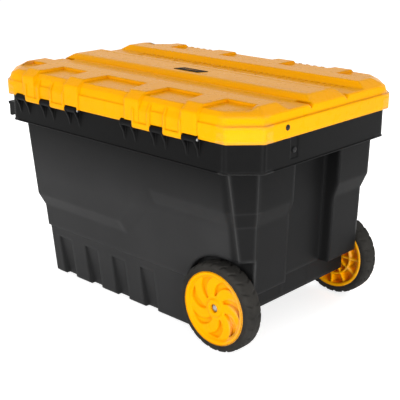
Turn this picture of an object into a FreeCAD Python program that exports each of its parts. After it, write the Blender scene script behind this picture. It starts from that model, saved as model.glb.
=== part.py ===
"""Wheeled jobsite storage box: tapered tub, hinged ridged lid, two latches, axle, wheels and tow handle.

Frame: X runs along the box with the wheels at +X, the hinges are on -Y and the latches on +Y,
Z is up and the floor is Z = 0.  The lid is centred on the Z axis.  All lengths are millimetres.
"""
import FreeCAD, Part
import math
import os
import Sketcher
from FreeCAD import Placement, Rotation, Vector

# Each row is a name, a number and what the number sets
SIZES = (
    ("overlap", 1, "how far a cutter passes a face and a root sinks into a wall"),
    ("lid_length", 730, "lid skirt along X"),
    ("lid_width", 493, "lid skirt along Y"),
    ("lid_corner_leg", 50, "leg of the lid's cut corners"),
    ("rim_top_z", 445, "top of the tub's rim"),
    ("lid_lap", 15.5, "how far the lid skirt hangs below the top of the rim"),
    ("skirt_height", 31.5, "height of the lid skirt"),
    ("dome_height", 29, "height of the dome over the skirt"),
    ("dome_wall", 15, "height of the dome's steep lower wall"),
    ("dome_wall_run", 3, "how far that steep wall leans in"),
    ("lid_wall", 4, "lid wall"),
    ("lid_ledge", 5, "width of the ledge round the dome at the ends"),
    ("lid_side_ledge", 2, "width of the ledge at the long sides"),
    ("dome_end_run", 27, "how far each dome end slopes in"),
    ("dome_side_run", 18, "how far each dome side slopes in"),
    ("lid_corner_round", 9, "radius on the lid's upright edges"),
    ("groove_depth", 12, "depth of the two long grooves in the lid"),
    ("plateau_width", 116.5, "lid's side to the inner top edge of each side plateau"),
    ("plateau_run", 12, "slope of the plateau into the groove, in Y"),
    ("ridge_half", 26, "half width of the middle ridge at its top"),
    ("ridge_run", 30, "slope of the middle ridge, in Y"),
    ("drain_width", 14, "width of the drain notch at a groove end"),
    ("drain_depth", 9, "depth of the drain notch below the groove"),
    ("drain_length", 44, "length of the drain notch along X"),
    ("dome_round", 6, "radius on the dome's top edge and on the pads"),
    ("pocket_depth", 6, "depth of the pockets along the lid's side plateaus"),
    ("pocket_reach", 76.5, "how far the pockets reach in from the lid's side"),
    ("pocket_flare_left", 1, "how much a pocket's left wall spreads towards the lid's side"),
    ("pocket_flare_right", 16, "how much a pocket's right wall spreads towards the lid's side"),
    ("pad_proud", 3, "how far the pads between pockets stand out"),
    ("seat_width", 7, "width of the lid's seat on the rim"),
    ("seat_gap", 0.4, "air between the lid's seat and the rim"),
    ("rim_inset", 8, "how far the rim stands in from the lid skirt"),
    ("rim_height", 74, "height of the rim collar"),
    ("rim_wall", 4, "wall of the rim collar"),
    ("right_set_back", 18.7, "right end wall from the rim's end, at the rim's lower edge"),
    ("left_set_back", 38.3, "left end wall from the rim's end, at the rim's lower edge"),
    ("side_set_back", 15.3, "side wall from the rim's side, at the rim's lower edge"),
    ("corner_leg_x", 35, "leg along X of the tub's cut corners, at the rim's lower edge"),
    ("corner_leg_y", 45, "leg along Y of the tub's cut corners, at the rim's lower edge"),
    ("corner_foot", 0.05, "share of those legs that is left at the floor"),
    ("right_draft", 0.03, "lean of the right end wall, run over rise"),
    ("left_draft", 0.068, "lean of the left end wall, run over rise"),
    ("side_draft", 0.123, "lean of the side walls, run over rise"),
    ("tub_wall", 5, "tub wall and floor"),
    ("sole_bevel", 4, "bevel round the tub's sole"),
    ("step_depth", 9, "set-back of the lower tub wall"),
    ("left_step_top", 0.534, "top of the step at the left, as a share of the rim's lower height"),
    ("left_step_bottom", 0.457, "foot of the step at the left, as such a share"),
    ("right_step_top", 0.784, "top of the step at the right, as such a share"),
    ("right_step_bottom", 0.7, "foot of the step at the right, as such a share"),
    ("step_rise_start", -0.09, "where the step starts to climb, as a share of the lid's half length"),
    ("step_rise_end", 0.296, "where the climb ends, as such a share"),
    ("step_slope", 2.6, "fall of the climbing band per millimetre of depth"),
    ("climb_reach", 30, "how far the climb's upper cut runs on past its top"),
    ("ledge_z", 117, "thin ledge above the foot zone"),
    ("ledge_rise", 3, "height of the thin ledge"),
    ("ledge_depth", 3.5, "depth of the thin ledge"),
    ("foot_slots", 4, "number of slots along each foot zone"),
    ("foot_slot_inset", 115, "lid's left end to the left wall of the first foot slot"),
    ("foot_slot_pitch", 0.1223, "spacing of the foot slots, as a share of the lid's length"),
    ("foot_slot_width", 41, "width of a foot slot"),
    ("foot_slot_depth", 13, "depth of a foot slot at the floor"),
    ("foot_slot_top_depth", 4, "depth of a foot slot at its top"),
    ("foot_slot_height", 96, "top of the foot slots"),
    ("recess_half", 72, "half width of the recess in the right end"),
    ("recess_depth", 33, "depth of the recess in the right end"),
    ("recess_flank", 3, "slant of the recess's side walls, in Y"),
    ("bay_behind", 15, "axle to the upright wall of its bay"),
    ("bay_above", 28, "axle to the roof of its bay"),
    ("bay_lip_z", 35, "lower edge of the bay wall"),
    ("bay_skirt_reach", 30, "axle to the outer face of the skirt that hides it"),
    ("bay_skirt_drop", 21.5, "axle to the lower edge of that skirt"),
    ("sole_rise_run", 95, "bay wall to the right end of the flat sole"),
    ("wheel_radius", 90, "tyre radius"),
    ("wheel_inset", 105, "lid's right end to the axle"),
    ("wheel_width", 42, "width of a wheel"),
    ("wheel_side_inset", 32.5, "lid's side to the outer face of a wheel"),
    ("well_gap", 9, "air between the tyre and its well"),
    ("well_side_gap", 5, "air between the wheel's inner face and the well"),
    ("tyre_height", 15.5, "tread to the hub's seat for the tyre"),
    ("hub_rim", 7, "thickness of the hub's rim"),
    ("hub_web", 10, "thickness of the hub's web"),
    ("hub_dish", 6, "how deep the hub's web lies behind its rim"),
    ("boss_radius", 19, "radius of the hub boss"),
    ("boss_inset", 2, "how far the boss face lies behind the wheel's outer face, and its bevel"),
    ("hub_blades", 7, "number of swirl recesses"),
    ("blade_depth", 6, "depth of a swirl recess"),
    ("blade_root", 6, "plain web between the boss and a swirl recess"),
    ("blade_foot", 0.2, "width of a swirl recess at its foot, as a share of its pitch"),
    ("blade_tip", 0.46, "width of a swirl recess at its tip, as a share of its pitch"),
    ("blade_curve", 0.3, "share of the twist that a recess has made half way out"),
    ("blade_twist", 32, "turn of a swirl recess from boss to rim, degrees"),
    ("hub_ribs", 12, "number of the hub's inner ribs"),
    ("hub_rib", 4, "thickness of the hub's inner ribs"),
    ("ring_rib_radius", 45, "middle radius of the ring rib inside the hub"),
    ("hub_rib_inset", 3, "how far the inner ribs lie behind the wheel's inner face"),
    ("tyre_fit", 0.1, "air between hub and tyre"),
    ("tyre_inset", 1, "how far the tyre's sides lie behind the hub's faces"),
    ("tyre_shoulder", 6, "chamfer on the tyre's shoulders"),
    ("tread_lugs", 24, "tread grooves on each shoulder"),
    ("tread_depth", 4, "depth of the tread grooves"),
    ("tread_gap", 5, "plain tread from the middle to a groove"),
    ("tread_groove", 6, "width of a tread groove"),
    ("tread_skew", 28, "slant of the tread grooves, degrees"),
    ("axle_radius", 6, "radius of the axle"),
    ("axle_fit", 0.05, "radial air between axle and bores"),
    ("axle_stub", 2.5, "axle beyond its retaining ring"),
    ("bracket_width", 10, "width of an axle bracket"),
    ("bracket_inner_y", 40, "place of the inner axle brackets"),
    ("bracket_below", 16, "bracket below the axle centre"),
    ("spacer_radius", 11, "radius of the axle spacers"),
    ("spacer_gap", 0.4, "air beside the axle spacers"),
    ("cap_radius", 8.3, "radius of the retaining rings on the axle"),
    ("cap_thickness", 3, "thickness of the retaining rings"),
    ("cap_room", 0.5, "radial air between a retaining ring and its bore in the boss"),
    ("cap_bore_depth", 9, "depth of that bore"),
    ("hinge_inset", 2, "lid's side to the hinge axis"),
    ("hinge_drop", 2, "lid's lower edge to the hinge axis"),
    ("barrel_radius", 6.5, "radius of the hinge knuckles"),
    ("hinge_pin_radius", 3, "radius of the hinge pins"),
    ("hinge_pin_fit", 0.05, "radial air between hinge pin and knuckles"),
    ("pin_head", 2, "thickness of a hinge pin's head"),
    ("knuckle_gap", 1.2, "air between neighbouring knuckles"),
    ("knuckle_room", 1.2, "air round a knuckle of the other body"),
    ("hinge_left_inset", 81, "lid's left end to the left hinge"),
    ("hinge_right_inset", 117, "lid's right end to the right hinge"),
    ("tub_knuckle", 34, "length of a tub knuckle"),
    ("lid_knuckle", 49, "length of a lid knuckle, gaps included"),
    ("gusset", 4, "thickness of the gussets under the tub knuckles"),
    ("gusset_drop", 36.5, "hinge axis to the foot of the gussets"),
    ("gusset_waist", 4, "depth of a gusset half way up"),
    ("arm_front_drop", 3, "lid's shoulder to the top of the upright front of a lid knuckle's arm"),
    ("arm_top_drop", 14, "lid's top to the top of a lid knuckle's arm"),
    ("panel_border", 6, "border round the sunk panel of a lid knuckle's arm"),
    ("panel_depth", 2.5, "depth of that panel"),
    ("latch_width", 64, "width of a latch"),
    ("latch_thickness", 5, "thickness of a latch plate"),
    ("latch_hook", 8, "reach of the latch's hook"),
    ("latch_tip", 7, "thickness of the latch's hook"),
    ("latch_pivot_proud", 4, "lid's side to the latch pivot"),
    ("latch_pivot_drop", 41.5, "lid's lower edge to the latch pivot"),
    ("latch_barrel", 5.5, "radius round the latch pivot"),
    ("latch_pin_radius", 2.5, "radius of the latch pins"),
    ("latch_pin_fit", 0.05, "radial air between latch pin and bores"),
    ("latch_side_gap", 1, "air beside a latch"),
    ("lug_width", 7, "width of a latch lug"),
    ("latch_seat_gap", 1, "air under the closed hook"),
    ("latch_seat_rise", 24.5, "lid's lower edge to the floor of a latch bay"),
    ("latch_bay_depth", 10.5, "depth of a latch bay in the lid's side"),
    ("latch_bay_side", 18, "room beside the latch in its bay"),
    ("bay_ribs", 5, "upright ribs in a latch bay"),
    ("bay_rib", 8, "width of a latch bay rib"),
    ("bay_rib_proud", 2.5, "how far a latch bay rib stands out"),
    ("handle_end_inset", 61.5, "lid's side to the end of the tow handle"),
    ("handle_reach", 48, "reach of the tow handle from the rim"),
    ("handle_fall", 39.5, "lid's lower edge to the top of the tow handle"),
    ("handle_drop", 32, "height of the tow handle's lip"),
    ("handle_shelf", 7, "thickness of the tow handle's shelf"),
    ("handle_lip", 8, "thickness of the tow handle's lip"),
    ("handle_brow", 4, "overhang of the shelf past the lip"),
    ("handle_brow_bevel", 2, "bevel under that overhang"),
    ("handle_back", 4, "thickness of the tow handle's back plate"),
    ("handle_back_drop", 19, "height of the tow handle's back plate"),
    ("handle_cheek", 5, "thickness of the tow handle's cheeks"),
    ("screw_radius", 2.5, "shank radius of the screws"),
    ("screw_head_radius", 5.5, "head radius of the screws"),
    ("screw_head", 3, "head height of the screws"),
    ("screw_fit", 0.2, "radial air round a screw shank"),
    ("nut_radius", 5, "half of the nuts' width across corners"),
    ("nut_height", 4, "height of the nuts"),
    ("handle_screw_y", 60, "inner screws of the tow handle"),
    ("handle_screw_inset", 35, "end of the tow handle to its outer screws"),
    ("handle_screw_drop", 13, "top of the tow handle to its screws"),
    ("nut_fit", 0.05, "radial air between a nut and its screw"),
    ("lid_screw_y", -135, "lid screw at each end"),
    ("lid_screw_rise", 20, "lid's lower edge to the lid screws"),
    ("lid_screw_length", 9, "shank of the lid screws"),
    ("tub_screw_y", -102, "rim screw at each end"),
    ("rim_screw_drop", 28.5, "lid's lower edge to the rim screws"),
    ("screw_pad", 24, "width of the dished pad round a rim screw"),
    ("screw_pad_depth", 1.5, "depth of the dished pad"),
    ("screw_pad_below", 16, "pad below the rim screw"),
    ("badge_length", 78, "bare badge along X"),
    ("badge_width", 22, "bare badge along Y"),
    ("badge_lean", 10, "lean of the badge's ends"),
    ("badge_thickness", 1, "thickness of the badge"),
    ("badge_x", 10, "middle of the badge"),
    ("badge_y", -12, "middle of the badge from the lid centre"),
)

# Far walls of the hinge-side pockets in the lid: left and right ends, as shares of the lid's half length
LID_POCKETS = (
    ("pocket_1", -0.88, -0.75),
    ("pocket_2", -0.595, -0.373),
    ("pocket_3", -0.205, 0.123),
    ("pocket_4", 0.279, 0.534),
    ("pocket_5", 0.688, 0.89),
)

# Pockets that the latch side has opposite those of the hinge side
LATCH_SIDE_POCKETS = ("pocket_1", "pocket_3", "pocket_5")

# Ends of the box along X, and its wheels along Y, with the sign of that direction
END_SIGNS = (("right", 1), ("left", -1))
WHEEL_SIGNS = (("hinge_side", -1), ("latch_side", 1))

doc = FreeCAD.newDocument("JobsiteBox")


class Dim:
    """A length that carries its number and the sheet formula that gives it."""

    def __init__(self, value, formula):
        self.value = float(value)
        self.formula = formula

    def joined(self, other, sign, value):
        return Dim(value, f"({self.formula} {sign} {dim(other).formula})")

    def __add__(self, other):
        return self.joined(other, "+", self.value + dim(other).value)

    def __radd__(self, other):
        return dim(other) + self

    def __sub__(self, other):
        return self.joined(other, "-", self.value - dim(other).value)

    def __rsub__(self, other):
        return dim(other) - self

    def __mul__(self, other):
        return self.joined(other, "*", self.value * dim(other).value)

    def __rmul__(self, other):
        return dim(other) * self

    def __truediv__(self, other):
        return self.joined(other, "/", self.value / dim(other).value)

    def __neg__(self):
        return self * -1


def dim(number):
    """A plain number as a length; a length stays as it is."""
    if isinstance(number, Dim):
        return number
    return Dim(number, f"({float(number)!r})")


class SizeSheet:
    """The sheet of sizes; each size is an attribute that carries its number and its cell."""

    def __init__(self):
        self.sheet = doc.addObject("Spreadsheet::Sheet", "Sizes")
        self.rows = 0

    def put(self, name, size, meaning):
        """Add a row: a number that drives the box, or a length that follows from the rows above."""
        follows = isinstance(size, Dim)
        content = "=" + size.formula.replace("Sizes.", "") if follows else str(size)
        self.rows += 1
        self.sheet.set(f"A{self.rows}", name)
        self.sheet.set(f"B{self.rows}", content)
        self.sheet.set(f"C{self.rows}", meaning)
        self.sheet.setAlias(f"B{self.rows}", name)
        setattr(self, name, Dim(dim(size).value, f"Sizes.{name}"))


def fill_sheet():
    """Write every driving size to the sheet, then the places that follow from them."""
    sizes = SizeSheet()
    for name, value, meaning in SIZES:
        sizes.put(name, value, meaning)
    for name, left, right in LID_POCKETS:
        sizes.put(f"{name}_left", left, "left end of a lid pocket's far wall, as a share")
        sizes.put(f"{name}_right", right, "right end of a lid pocket's far wall, as a share")
    put_lid_places(sizes)
    put_tub_places(sizes)
    put_wheel_places(sizes)
    put_fitting_places(sizes)
    doc.recompute()
    return sizes


def put_lid_places(s):
    """Heights and widths of the rim and the lid that follow from the driving sizes."""
    half_width = s.lid_width / 2
    s.put("lid_edge_z", s.rim_top_z - s.lid_lap, "lower edge of the lid skirt")
    s.put("lid_shoulder_z", s.lid_edge_z + s.skirt_height, "ledge on top of the lid skirt")
    s.put("dome_waist_z", s.lid_shoulder_z + s.dome_wall, "top of the dome's steep lower wall")
    s.put("lid_top_z", s.lid_shoulder_z + s.dome_height, "top of the lid")
    s.put("rim_bottom_z", s.rim_top_z - s.rim_height, "lower edge of the rim collar")
    s.put("plateau_edge_y", half_width - s.plateau_width, "inner top edge of each side plateau")
    s.put("pocket_far_y", half_width - s.pocket_reach, "inner wall of the pockets")


def put_tub_places(s):
    """Walls, steps and foot slots of the tub that follow from the driving sizes."""
    half_length = s.lid_length / 2
    rim_end = half_length - s.rim_inset
    s.put("tub_right", rim_end - s.right_set_back, "right end wall at the rim's lower edge")
    s.put("tub_left", rim_end - s.left_set_back, "left end wall at the rim's lower edge")
    s.put("tub_half_width", s.lid_width / 2 - s.rim_inset - s.side_set_back, "side wall at that height")
    s.put("left_step_top_z", s.rim_bottom_z * s.left_step_top, "top of the step at the left")
    s.put("left_step_bottom_z", s.rim_bottom_z * s.left_step_bottom, "foot of the step at the left")
    s.put("right_step_top_z", s.rim_bottom_z * s.right_step_top, "top of the step at the right")
    s.put("right_step_bottom_z", s.rim_bottom_z * s.right_step_bottom, "foot of the step at the right")
    s.put("step_rise_x", half_length * s.step_rise_start, "where the step starts to climb")
    s.put("step_rise_run", half_length * s.step_rise_end - s.step_rise_x, "length of the climb along X")
    s.put("foot_slot_x", s.foot_slot_inset - half_length, "left wall of the first foot slot")
    s.put("foot_slot_step", s.lid_length * s.foot_slot_pitch, "spacing of the foot slots")


def put_wheel_places(s):
    """Places of the wheels and the axle bay that follow from the driving sizes."""
    s.put("wheel_x", s.lid_length / 2 - s.wheel_inset, "axle from the lid centre")
    s.put("wheel_outer_y", s.lid_width / 2 - s.wheel_side_inset, "outer face of a wheel from the middle")
    s.put("hub_radius", s.wheel_radius - s.tyre_height, "radius of the hub under the tyre")
    s.put("bay_wall_x", s.wheel_x - s.bay_behind, "upright wall of the axle bay")
    s.put("bay_roof_z", s.wheel_radius + s.bay_above, "roof of the axle bay")
    s.put("bay_skirt_x", s.wheel_x + s.bay_skirt_reach, "outer face of the skirt that hides the axle")
    s.put("bay_skirt_z", s.wheel_radius - s.bay_skirt_drop, "lower edge of that skirt")
    s.put("sole_end_x", s.bay_wall_x - s.sole_rise_run, "right end of the flat sole")


def put_fitting_places(s):
    """Places of the hinges, latches, tow handle and screws that follow from the driving sizes."""
    half_length = s.lid_length / 2
    half_width = s.lid_width / 2
    s.put("hinge_y", half_width - s.hinge_inset, "hinge axis from the middle")
    s.put("hinge_z", s.lid_edge_z - s.hinge_drop, "hinge axis height")
    s.put("hinge_length", s.tub_knuckle * 3 + s.lid_knuckle * 2, "length of a hinge")
    s.put("hinge_left_x", s.hinge_left_inset - half_length, "left end of the left hinge")
    s.put("hinge_right_x", half_length - s.hinge_right_inset - s.hinge_length, "left end of the right hinge")
    s.put("gusset_foot_z", s.hinge_z - s.gusset_drop, "foot of the gussets")
    s.put("arm_front_z", s.lid_shoulder_z - s.arm_front_drop, "top of an arm's upright front")
    s.put("arm_top_z", s.lid_top_z - s.arm_top_drop, "top of a lid knuckle's arm on the dome")
    s.put("latch_left_x", s.hinge_left_x + s.hinge_length / 2, "middle of the left latch")
    s.put("latch_right_x", s.hinge_right_x + s.hinge_length / 2, "middle of the right latch")
    s.put("latch_pivot_y", half_width + s.latch_pivot_proud, "latch pivot from the middle")
    s.put("latch_pivot_z", s.lid_edge_z - s.latch_pivot_drop, "latch pivot height")
    s.put("latch_seat_z", s.lid_edge_z + s.latch_seat_rise, "floor of a latch bay")
    closed_tip_z = s.latch_seat_z + s.latch_seat_gap + s.latch_tip
    s.put("latch_length", closed_tip_z - s.latch_pivot_z, "latch pivot to its tip")
    s.put("latch_bay_y", half_width - s.latch_bay_depth, "inner wall of the latch bay in the lid")
    s.put("handle_half", half_width - s.handle_end_inset, "half width of the tow handle")
    s.put("handle_top_z", s.lid_edge_z - s.handle_fall, "top of the tow handle")
    s.put("handle_screw_z", s.handle_top_z - s.handle_screw_drop, "height of the tow handle's screws")
    s.put("handle_screw_far_y", s.handle_half - s.handle_screw_inset, "outer screws of the tow handle")
    s.put("lid_screw_z", s.lid_edge_z + s.lid_screw_rise, "height of the lid screws")
    s.put("tub_screw_z", s.lid_edge_z - s.rim_screw_drop, "height of the rim screws")


s = fill_sheet()

HINGE_STARTS = (("left", s.hinge_left_x), ("right", s.hinge_right_x))
LATCH_PLACES = (("left", s.latch_left_x), ("right", s.latch_right_x))

# Sketch planes: how the sketch is turned and which way a prism on it grows
PLANES = {
    "XY": (Rotation(), "z", Vector(0, 0, 1)),
    "XZ": (Rotation(Vector(1, 0, 0), 90), "y", Vector(0, 1, 0)),
    "YZ": (Rotation(Vector(1, 1, 1), 120), "x", Vector(1, 0, 0)),
}
AXIS_TURN = {
    "x": Rotation(Vector(0, 1, 0), 90),
    "y": Rotation(Vector(1, 0, 0), -90),
    "z": Rotation(),
}


def bind(obj, prop, size):
    """Drive a property from the sheet."""
    obj.setExpression(prop, dim(size).formula)


def place(obj, x, y, z):
    """Drive an object's position from the sheet."""
    for axis, size in zip("xyz", (x, y, z)):
        bind(obj, f"Placement.Base.{axis}", size)


def outline(name, plane, level, *loops):
    """Sketch of straight-sided loops; each corner is held by two driven distances."""
    turn, axis, _ = PLANES[plane]
    sketch = doc.addObject("Sketcher::SketchObject", name)
    sketch.Placement = Placement(Vector(), turn)
    bind(sketch, f"Placement.Base.{axis}", level)
    for loop in loops:
        add_loop(sketch, [(dim(u), dim(v)) for u, v in loop])
    return sketch


def add_loop(sketch, corners):
    """Add one closed loop of lines and drive its corners."""
    first = sketch.GeometryCount
    count = len(corners)
    points = [Vector(u.value, v.value, 0) for u, v in corners]
    sketch.addGeometry([Part.LineSegment(points[i], points[(i + 1) % count]) for i in range(count)])
    for i in range(count):
        sketch.addConstraint(Sketcher.Constraint("Coincident", first + i, 2, first + (i + 1) % count, 1))
    for i, (u, v) in enumerate(corners):
        for kind, size in (("DistanceX", u), ("DistanceY", v)):
            index = sketch.addConstraint(Sketcher.Constraint(kind, -1, 1, first + i, 1, size.value))
            sketch.setExpression(f"Constraints[{index}]", size.formula)


def prism(name, plane, low, high, *loops):
    """Solid of the loops between two levels of the plane's normal axis."""
    solid = doc.addObject("Part::Extrusion", name)
    solid.Base = outline(f"{name}_outline", plane, low, *loops)
    solid.DirMode = "Custom"
    solid.Dir = PLANES[plane][2]
    solid.Solid = True
    bind(solid, "LengthFwd", high - low)
    return solid


def loft(name, sections):
    """Solid with flat sides through the sections, in order."""
    solid = doc.addObject("Part::Loft", name)
    solid.Sections = sections
    solid.Solid = True
    solid.Ruled = True
    return solid


def box(name, low, high):
    """Block between two corners."""
    solid = doc.addObject("Part::Box", name)
    for prop, a, b in zip(("Length", "Width", "Height"), low, high):
        bind(solid, prop, dim(b) - a)
    place(solid, *low)
    return solid


def rod(name, axis, radius, start, length):
    """Cylinder from a start point along an axis."""
    solid = doc.addObject("Part::Cylinder", name)
    solid.Placement = Placement(Vector(), AXIS_TURN[axis])
    bind(solid, "Radius", radius)
    bind(solid, "Height", length)
    place(solid, *start)
    return solid


def fuse(name, parts):
    """One solid of all the parts."""
    solid = doc.addObject("Part::MultiFuse", name)
    solid.Shapes = parts
    solid.Refine = True
    return solid


def cut(name, base, tools):
    """Base less every tool."""
    solid = doc.addObject("Part::Cut", name)
    solid.Base = base
    solid.Tool = tools[0] if len(tools) == 1 else group(f"{name}_tools", tools)
    solid.Refine = True
    return solid


def common(name, parts):
    """What all the parts share."""
    solid = doc.addObject("Part::MultiCommon", name)
    solid.Shapes = parts
    return solid


def group(name, parts):
    """Separate solids kept in one object."""
    compound = doc.addObject("Part::Compound", name)
    compound.Links = parts
    return compound


def mirrored(name, source):
    """Copy on the other side of the box's long middle plane."""
    copy = doc.addObject("Part::Mirroring", name)
    copy.Source = source
    copy.Normal = Vector(0, 1, 0)
    return copy


def turned_copies(name, source, count, centre):
    """Copies of a shape spread evenly about an axis along Y through the centre."""
    doc.recompute()
    ring = doc.addObject("Part::Feature", name)
    copies = []
    for i in range(count):
        copy = source.Shape.copy()
        copy.rotate(centre, Vector(0, 1, 0), 360 * i / count)
        copies.append(copy)
    ring.Shape = Part.makeCompound(copies)
    return ring


def rounded(name, base, radius, chosen):
    """Base with the chosen edges rounded."""
    doc.recompute()
    solid = doc.addObject("Part::Fillet", name)
    solid.Base = base
    solid.Edges = [
        (i, radius.value, radius.value) for i, edge in enumerate(base.Shape.Edges, start=1) if chosen(edge)
    ]
    return solid


def upright(edge):
    """True for an edge whose ends lie at different heights."""
    return abs(edge.Vertexes[-1].Z - edge.Vertexes[0].Z) > 1


def cut_corner_loop(left, right, half, leg_x, leg_y):
    """Rectangle with its four corners cut off by the two legs."""
    return [
        (left + leg_x, -half), (right - leg_x, -half), (right, leg_y - half), (right, half - leg_y),
        (right - leg_x, half), (left + leg_x, half), (left, half - leg_y), (left, leg_y - half),
    ]


def lid_loop(end_inset, side_inset):
    """Lid outline drawn in by different amounts at the ends and the sides."""
    end = s.lid_length / 2 - end_inset
    return cut_corner_loop(-end, end, s.lid_width / 2 - side_inset, s.lid_corner_leg, s.lid_corner_leg)


def tub_section(name, height, inset):
    """Tub wall outline at a height, leaned by the drafts and drawn in by the inset; its corners taper."""
    drop = s.rim_bottom_z - height
    right = s.tub_right - s.right_draft * drop - inset
    left = -(s.tub_left - s.left_draft * drop - inset)
    half = side_wall_y(height) - inset
    share = s.corner_foot + (1 - s.corner_foot) * height / s.rim_bottom_z
    loop = cut_corner_loop(left, right, half, s.corner_leg_x * share, s.corner_leg_y * share)
    return outline(name, "XY", height, loop)


def side_wall_y(height):
    """Distance of the upper side wall from the middle at a height."""
    return s.tub_half_width - s.side_draft * (s.rim_bottom_z - height)


def tub_form(tag, inset, floor):
    """Closed form of the tub, drawn in by the inset: the outside, or the space inside the walls."""
    step = inset + s.step_depth
    foot = step + s.ledge_depth
    ledge_top = s.ledge_z + s.ledge_rise
    lower = loft(f"{tag}_lower", [
        tub_section(f"{tag}_sole", floor, foot + s.sole_bevel),
        tub_section(f"{tag}_sole_edge", floor + s.sole_bevel, foot),
        tub_section(f"{tag}_ledge_foot", s.ledge_z, foot),
        tub_section(f"{tag}_ledge_top", ledge_top, step),
        tub_section(f"{tag}_lower_top", s.rim_top_z, step),
    ])
    upper_right = stepped_loft(f"{tag}_right", s.right_step_bottom_z, s.right_step_top_z, inset)
    upper_left = stepped_loft(f"{tag}_left", s.left_step_bottom_z, s.left_step_top_z, inset)
    climb = climb_wedge(f"{tag}_climb", inset)
    whole_climb = fuse(f"{tag}_climbs", [climb, mirrored(f"{tag}_climb_back", climb)])
    upper_left = common(f"{tag}_left_part", [upper_left, whole_climb])
    walls = fuse(f"{tag}_walls", [lower, upper_right, upper_left])
    hollows = [axle_bay(tag, inset), end_recess(tag, inset)]
    well = wheel_well(tag, inset)
    slots = [foot_slot(f"{tag}_slot_{i}", i, inset) for i in range(int(s.foot_slots.value))]
    near_hollows = [well] + slots
    far_hollows = [mirrored(f"{solid.Name}_back", solid) for solid in near_hollows]
    return cut(f"{tag}_form", walls, hollows + near_hollows + far_hollows)


def stepped_loft(name, bottom, top, inset):
    """Upper wall with the sloping band that brings it in to the lower wall."""
    return loft(f"{name}_upper", [
        tub_section(f"{name}_band_foot", bottom, inset + s.step_depth),
        tub_section(f"{name}_band_top", top, inset),
        tub_section(f"{name}_rim", s.rim_top_z, inset),
    ])


def climb_wedge(name, inset):
    """Half space left of and above the climbing band, on the hinge side, lifted by a wall for the inside."""
    rise = (s.right_step_top_z - s.left_step_top_z) / s.step_rise_run
    left = -s.lid_length / 2
    right = s.step_rise_x + s.step_rise_run + s.climb_reach
    wall_y = side_wall_y((s.left_step_top_z + s.right_step_top_z) / 2)
    lift = inset * (s.step_slope + rise + 1)
    top = s.lid_top_z + s.lid_width * s.step_slope
    ends = []
    for tag, y in (("outer", -s.lid_width / 2), ("middle", dim(0))):
        fall = s.step_slope * (y + wall_y)
        left_z = s.left_step_top_z - rise * (s.step_rise_x - left) - fall + lift
        right_z = left_z + rise * (right - left)
        loop = [(left, left_z), (right, right_z), (right, top), (left, top)]
        ends.append(outline(f"{name}_{tag}", "XZ", y, loop))
    return loft(name, ends)


def axle_bay(tag, inset):
    """Space under the right end for the axle, with the rising end of the sole."""
    far = s.lid_length / 2
    below = -s.tub_wall
    sole_x = s.sole_end_x - inset
    wall_x = s.bay_wall_x - inset
    loop = [
        (sole_x, below), (sole_x, inset), (wall_x, s.bay_lip_z + inset), (wall_x, s.bay_roof_z + inset),
        (far, s.bay_roof_z + inset), (far, below),
    ]
    side = s.lid_width / 2
    return prism(f"{tag}_bay", "XZ", -side, side, loop)


def end_recess(tag, inset):
    """Upright recess with slanted flanks in the middle of the right end; it leans as the wall does."""
    half = s.recess_half + inset
    floor_half = half - s.recess_flank
    outside = s.lid_length / 2
    ends = []
    for name, height in (("low", dim(0)), ("high", s.rim_bottom_z + s.tub_wall)):
        wall_x = s.tub_right - s.right_draft * (s.rim_bottom_z - height)
        floor_x = wall_x - s.recess_depth - inset
        loop = [
            (floor_x, -floor_half), (wall_x, -half), (outside, -half), (outside, half), (wall_x, half),
            (floor_x, floor_half),
        ]
        ends.append(outline(f"{tag}_recess_{name}", "XY", height, loop))
    return loft(f"{tag}_recess", ends)


def wheel_well(tag, inset):
    """Round arch over one wheel, open towards the side, the end and the floor."""
    radius = s.wheel_radius + s.well_gap + inset
    inner = s.wheel_outer_y - s.wheel_width - s.well_side_gap - inset
    depth = s.lid_width / 2 - inner
    arch = rod(f"{tag}_arch", "y", radius, (s.wheel_x, -s.lid_width / 2, s.wheel_radius), depth)
    top = s.wheel_radius + radius
    behind = box(
        f"{tag}_arch_end", (s.wheel_x, -s.lid_width / 2, -s.tub_wall), (s.lid_length / 2, -inner, top))
    below = box(
        f"{tag}_arch_low", (s.wheel_x - radius, -s.lid_width / 2, -s.tub_wall),
        (s.wheel_x, -inner, s.wheel_radius))
    return fuse(f"{tag}_well", [arch, behind, below])


def foot_slot(name, index, inset):
    """Slot open at the sole, deeper there than at its top."""
    left = s.foot_slot_x + s.foot_slot_step * index - inset
    right = s.foot_slot_x + s.foot_slot_step * index + s.foot_slot_width + inset
    outside = -s.lid_width / 2
    ends = []
    for tag, height, depth in (
        ("low", -s.overlap, s.foot_slot_depth),
        ("high", s.foot_slot_height + inset, s.foot_slot_top_depth),
    ):
        deep = s.step_depth + s.ledge_depth + depth + inset - side_wall_y(height)
        loop = [(left, outside), (right, outside), (right, deep), (left, deep)]
        ends.append(outline(f"{name}_{tag}", "XY", height, loop))
    return loft(name, ends)


def rim_collar():
    """Turned-down collar with a flat top that the lid closes on."""
    end = s.lid_length / 2 - s.rim_inset
    half = s.lid_width / 2 - s.rim_inset
    outer = prism("collar_outer", "XY", s.rim_bottom_z, s.rim_top_z,
                  cut_corner_loop(-end, end, half, s.lid_corner_leg, s.lid_corner_leg))
    outer = rounded("collar_round", outer, s.lid_corner_round, upright)
    end = end - s.rim_wall
    half = half - s.rim_wall
    inner = prism("collar_inner", "XY", s.rim_bottom_z - s.overlap, s.rim_top_z - s.rim_wall,
                  cut_corner_loop(-end, end, half, s.lid_corner_leg, s.lid_corner_leg))
    return cut("collar", outer, [inner])


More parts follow.
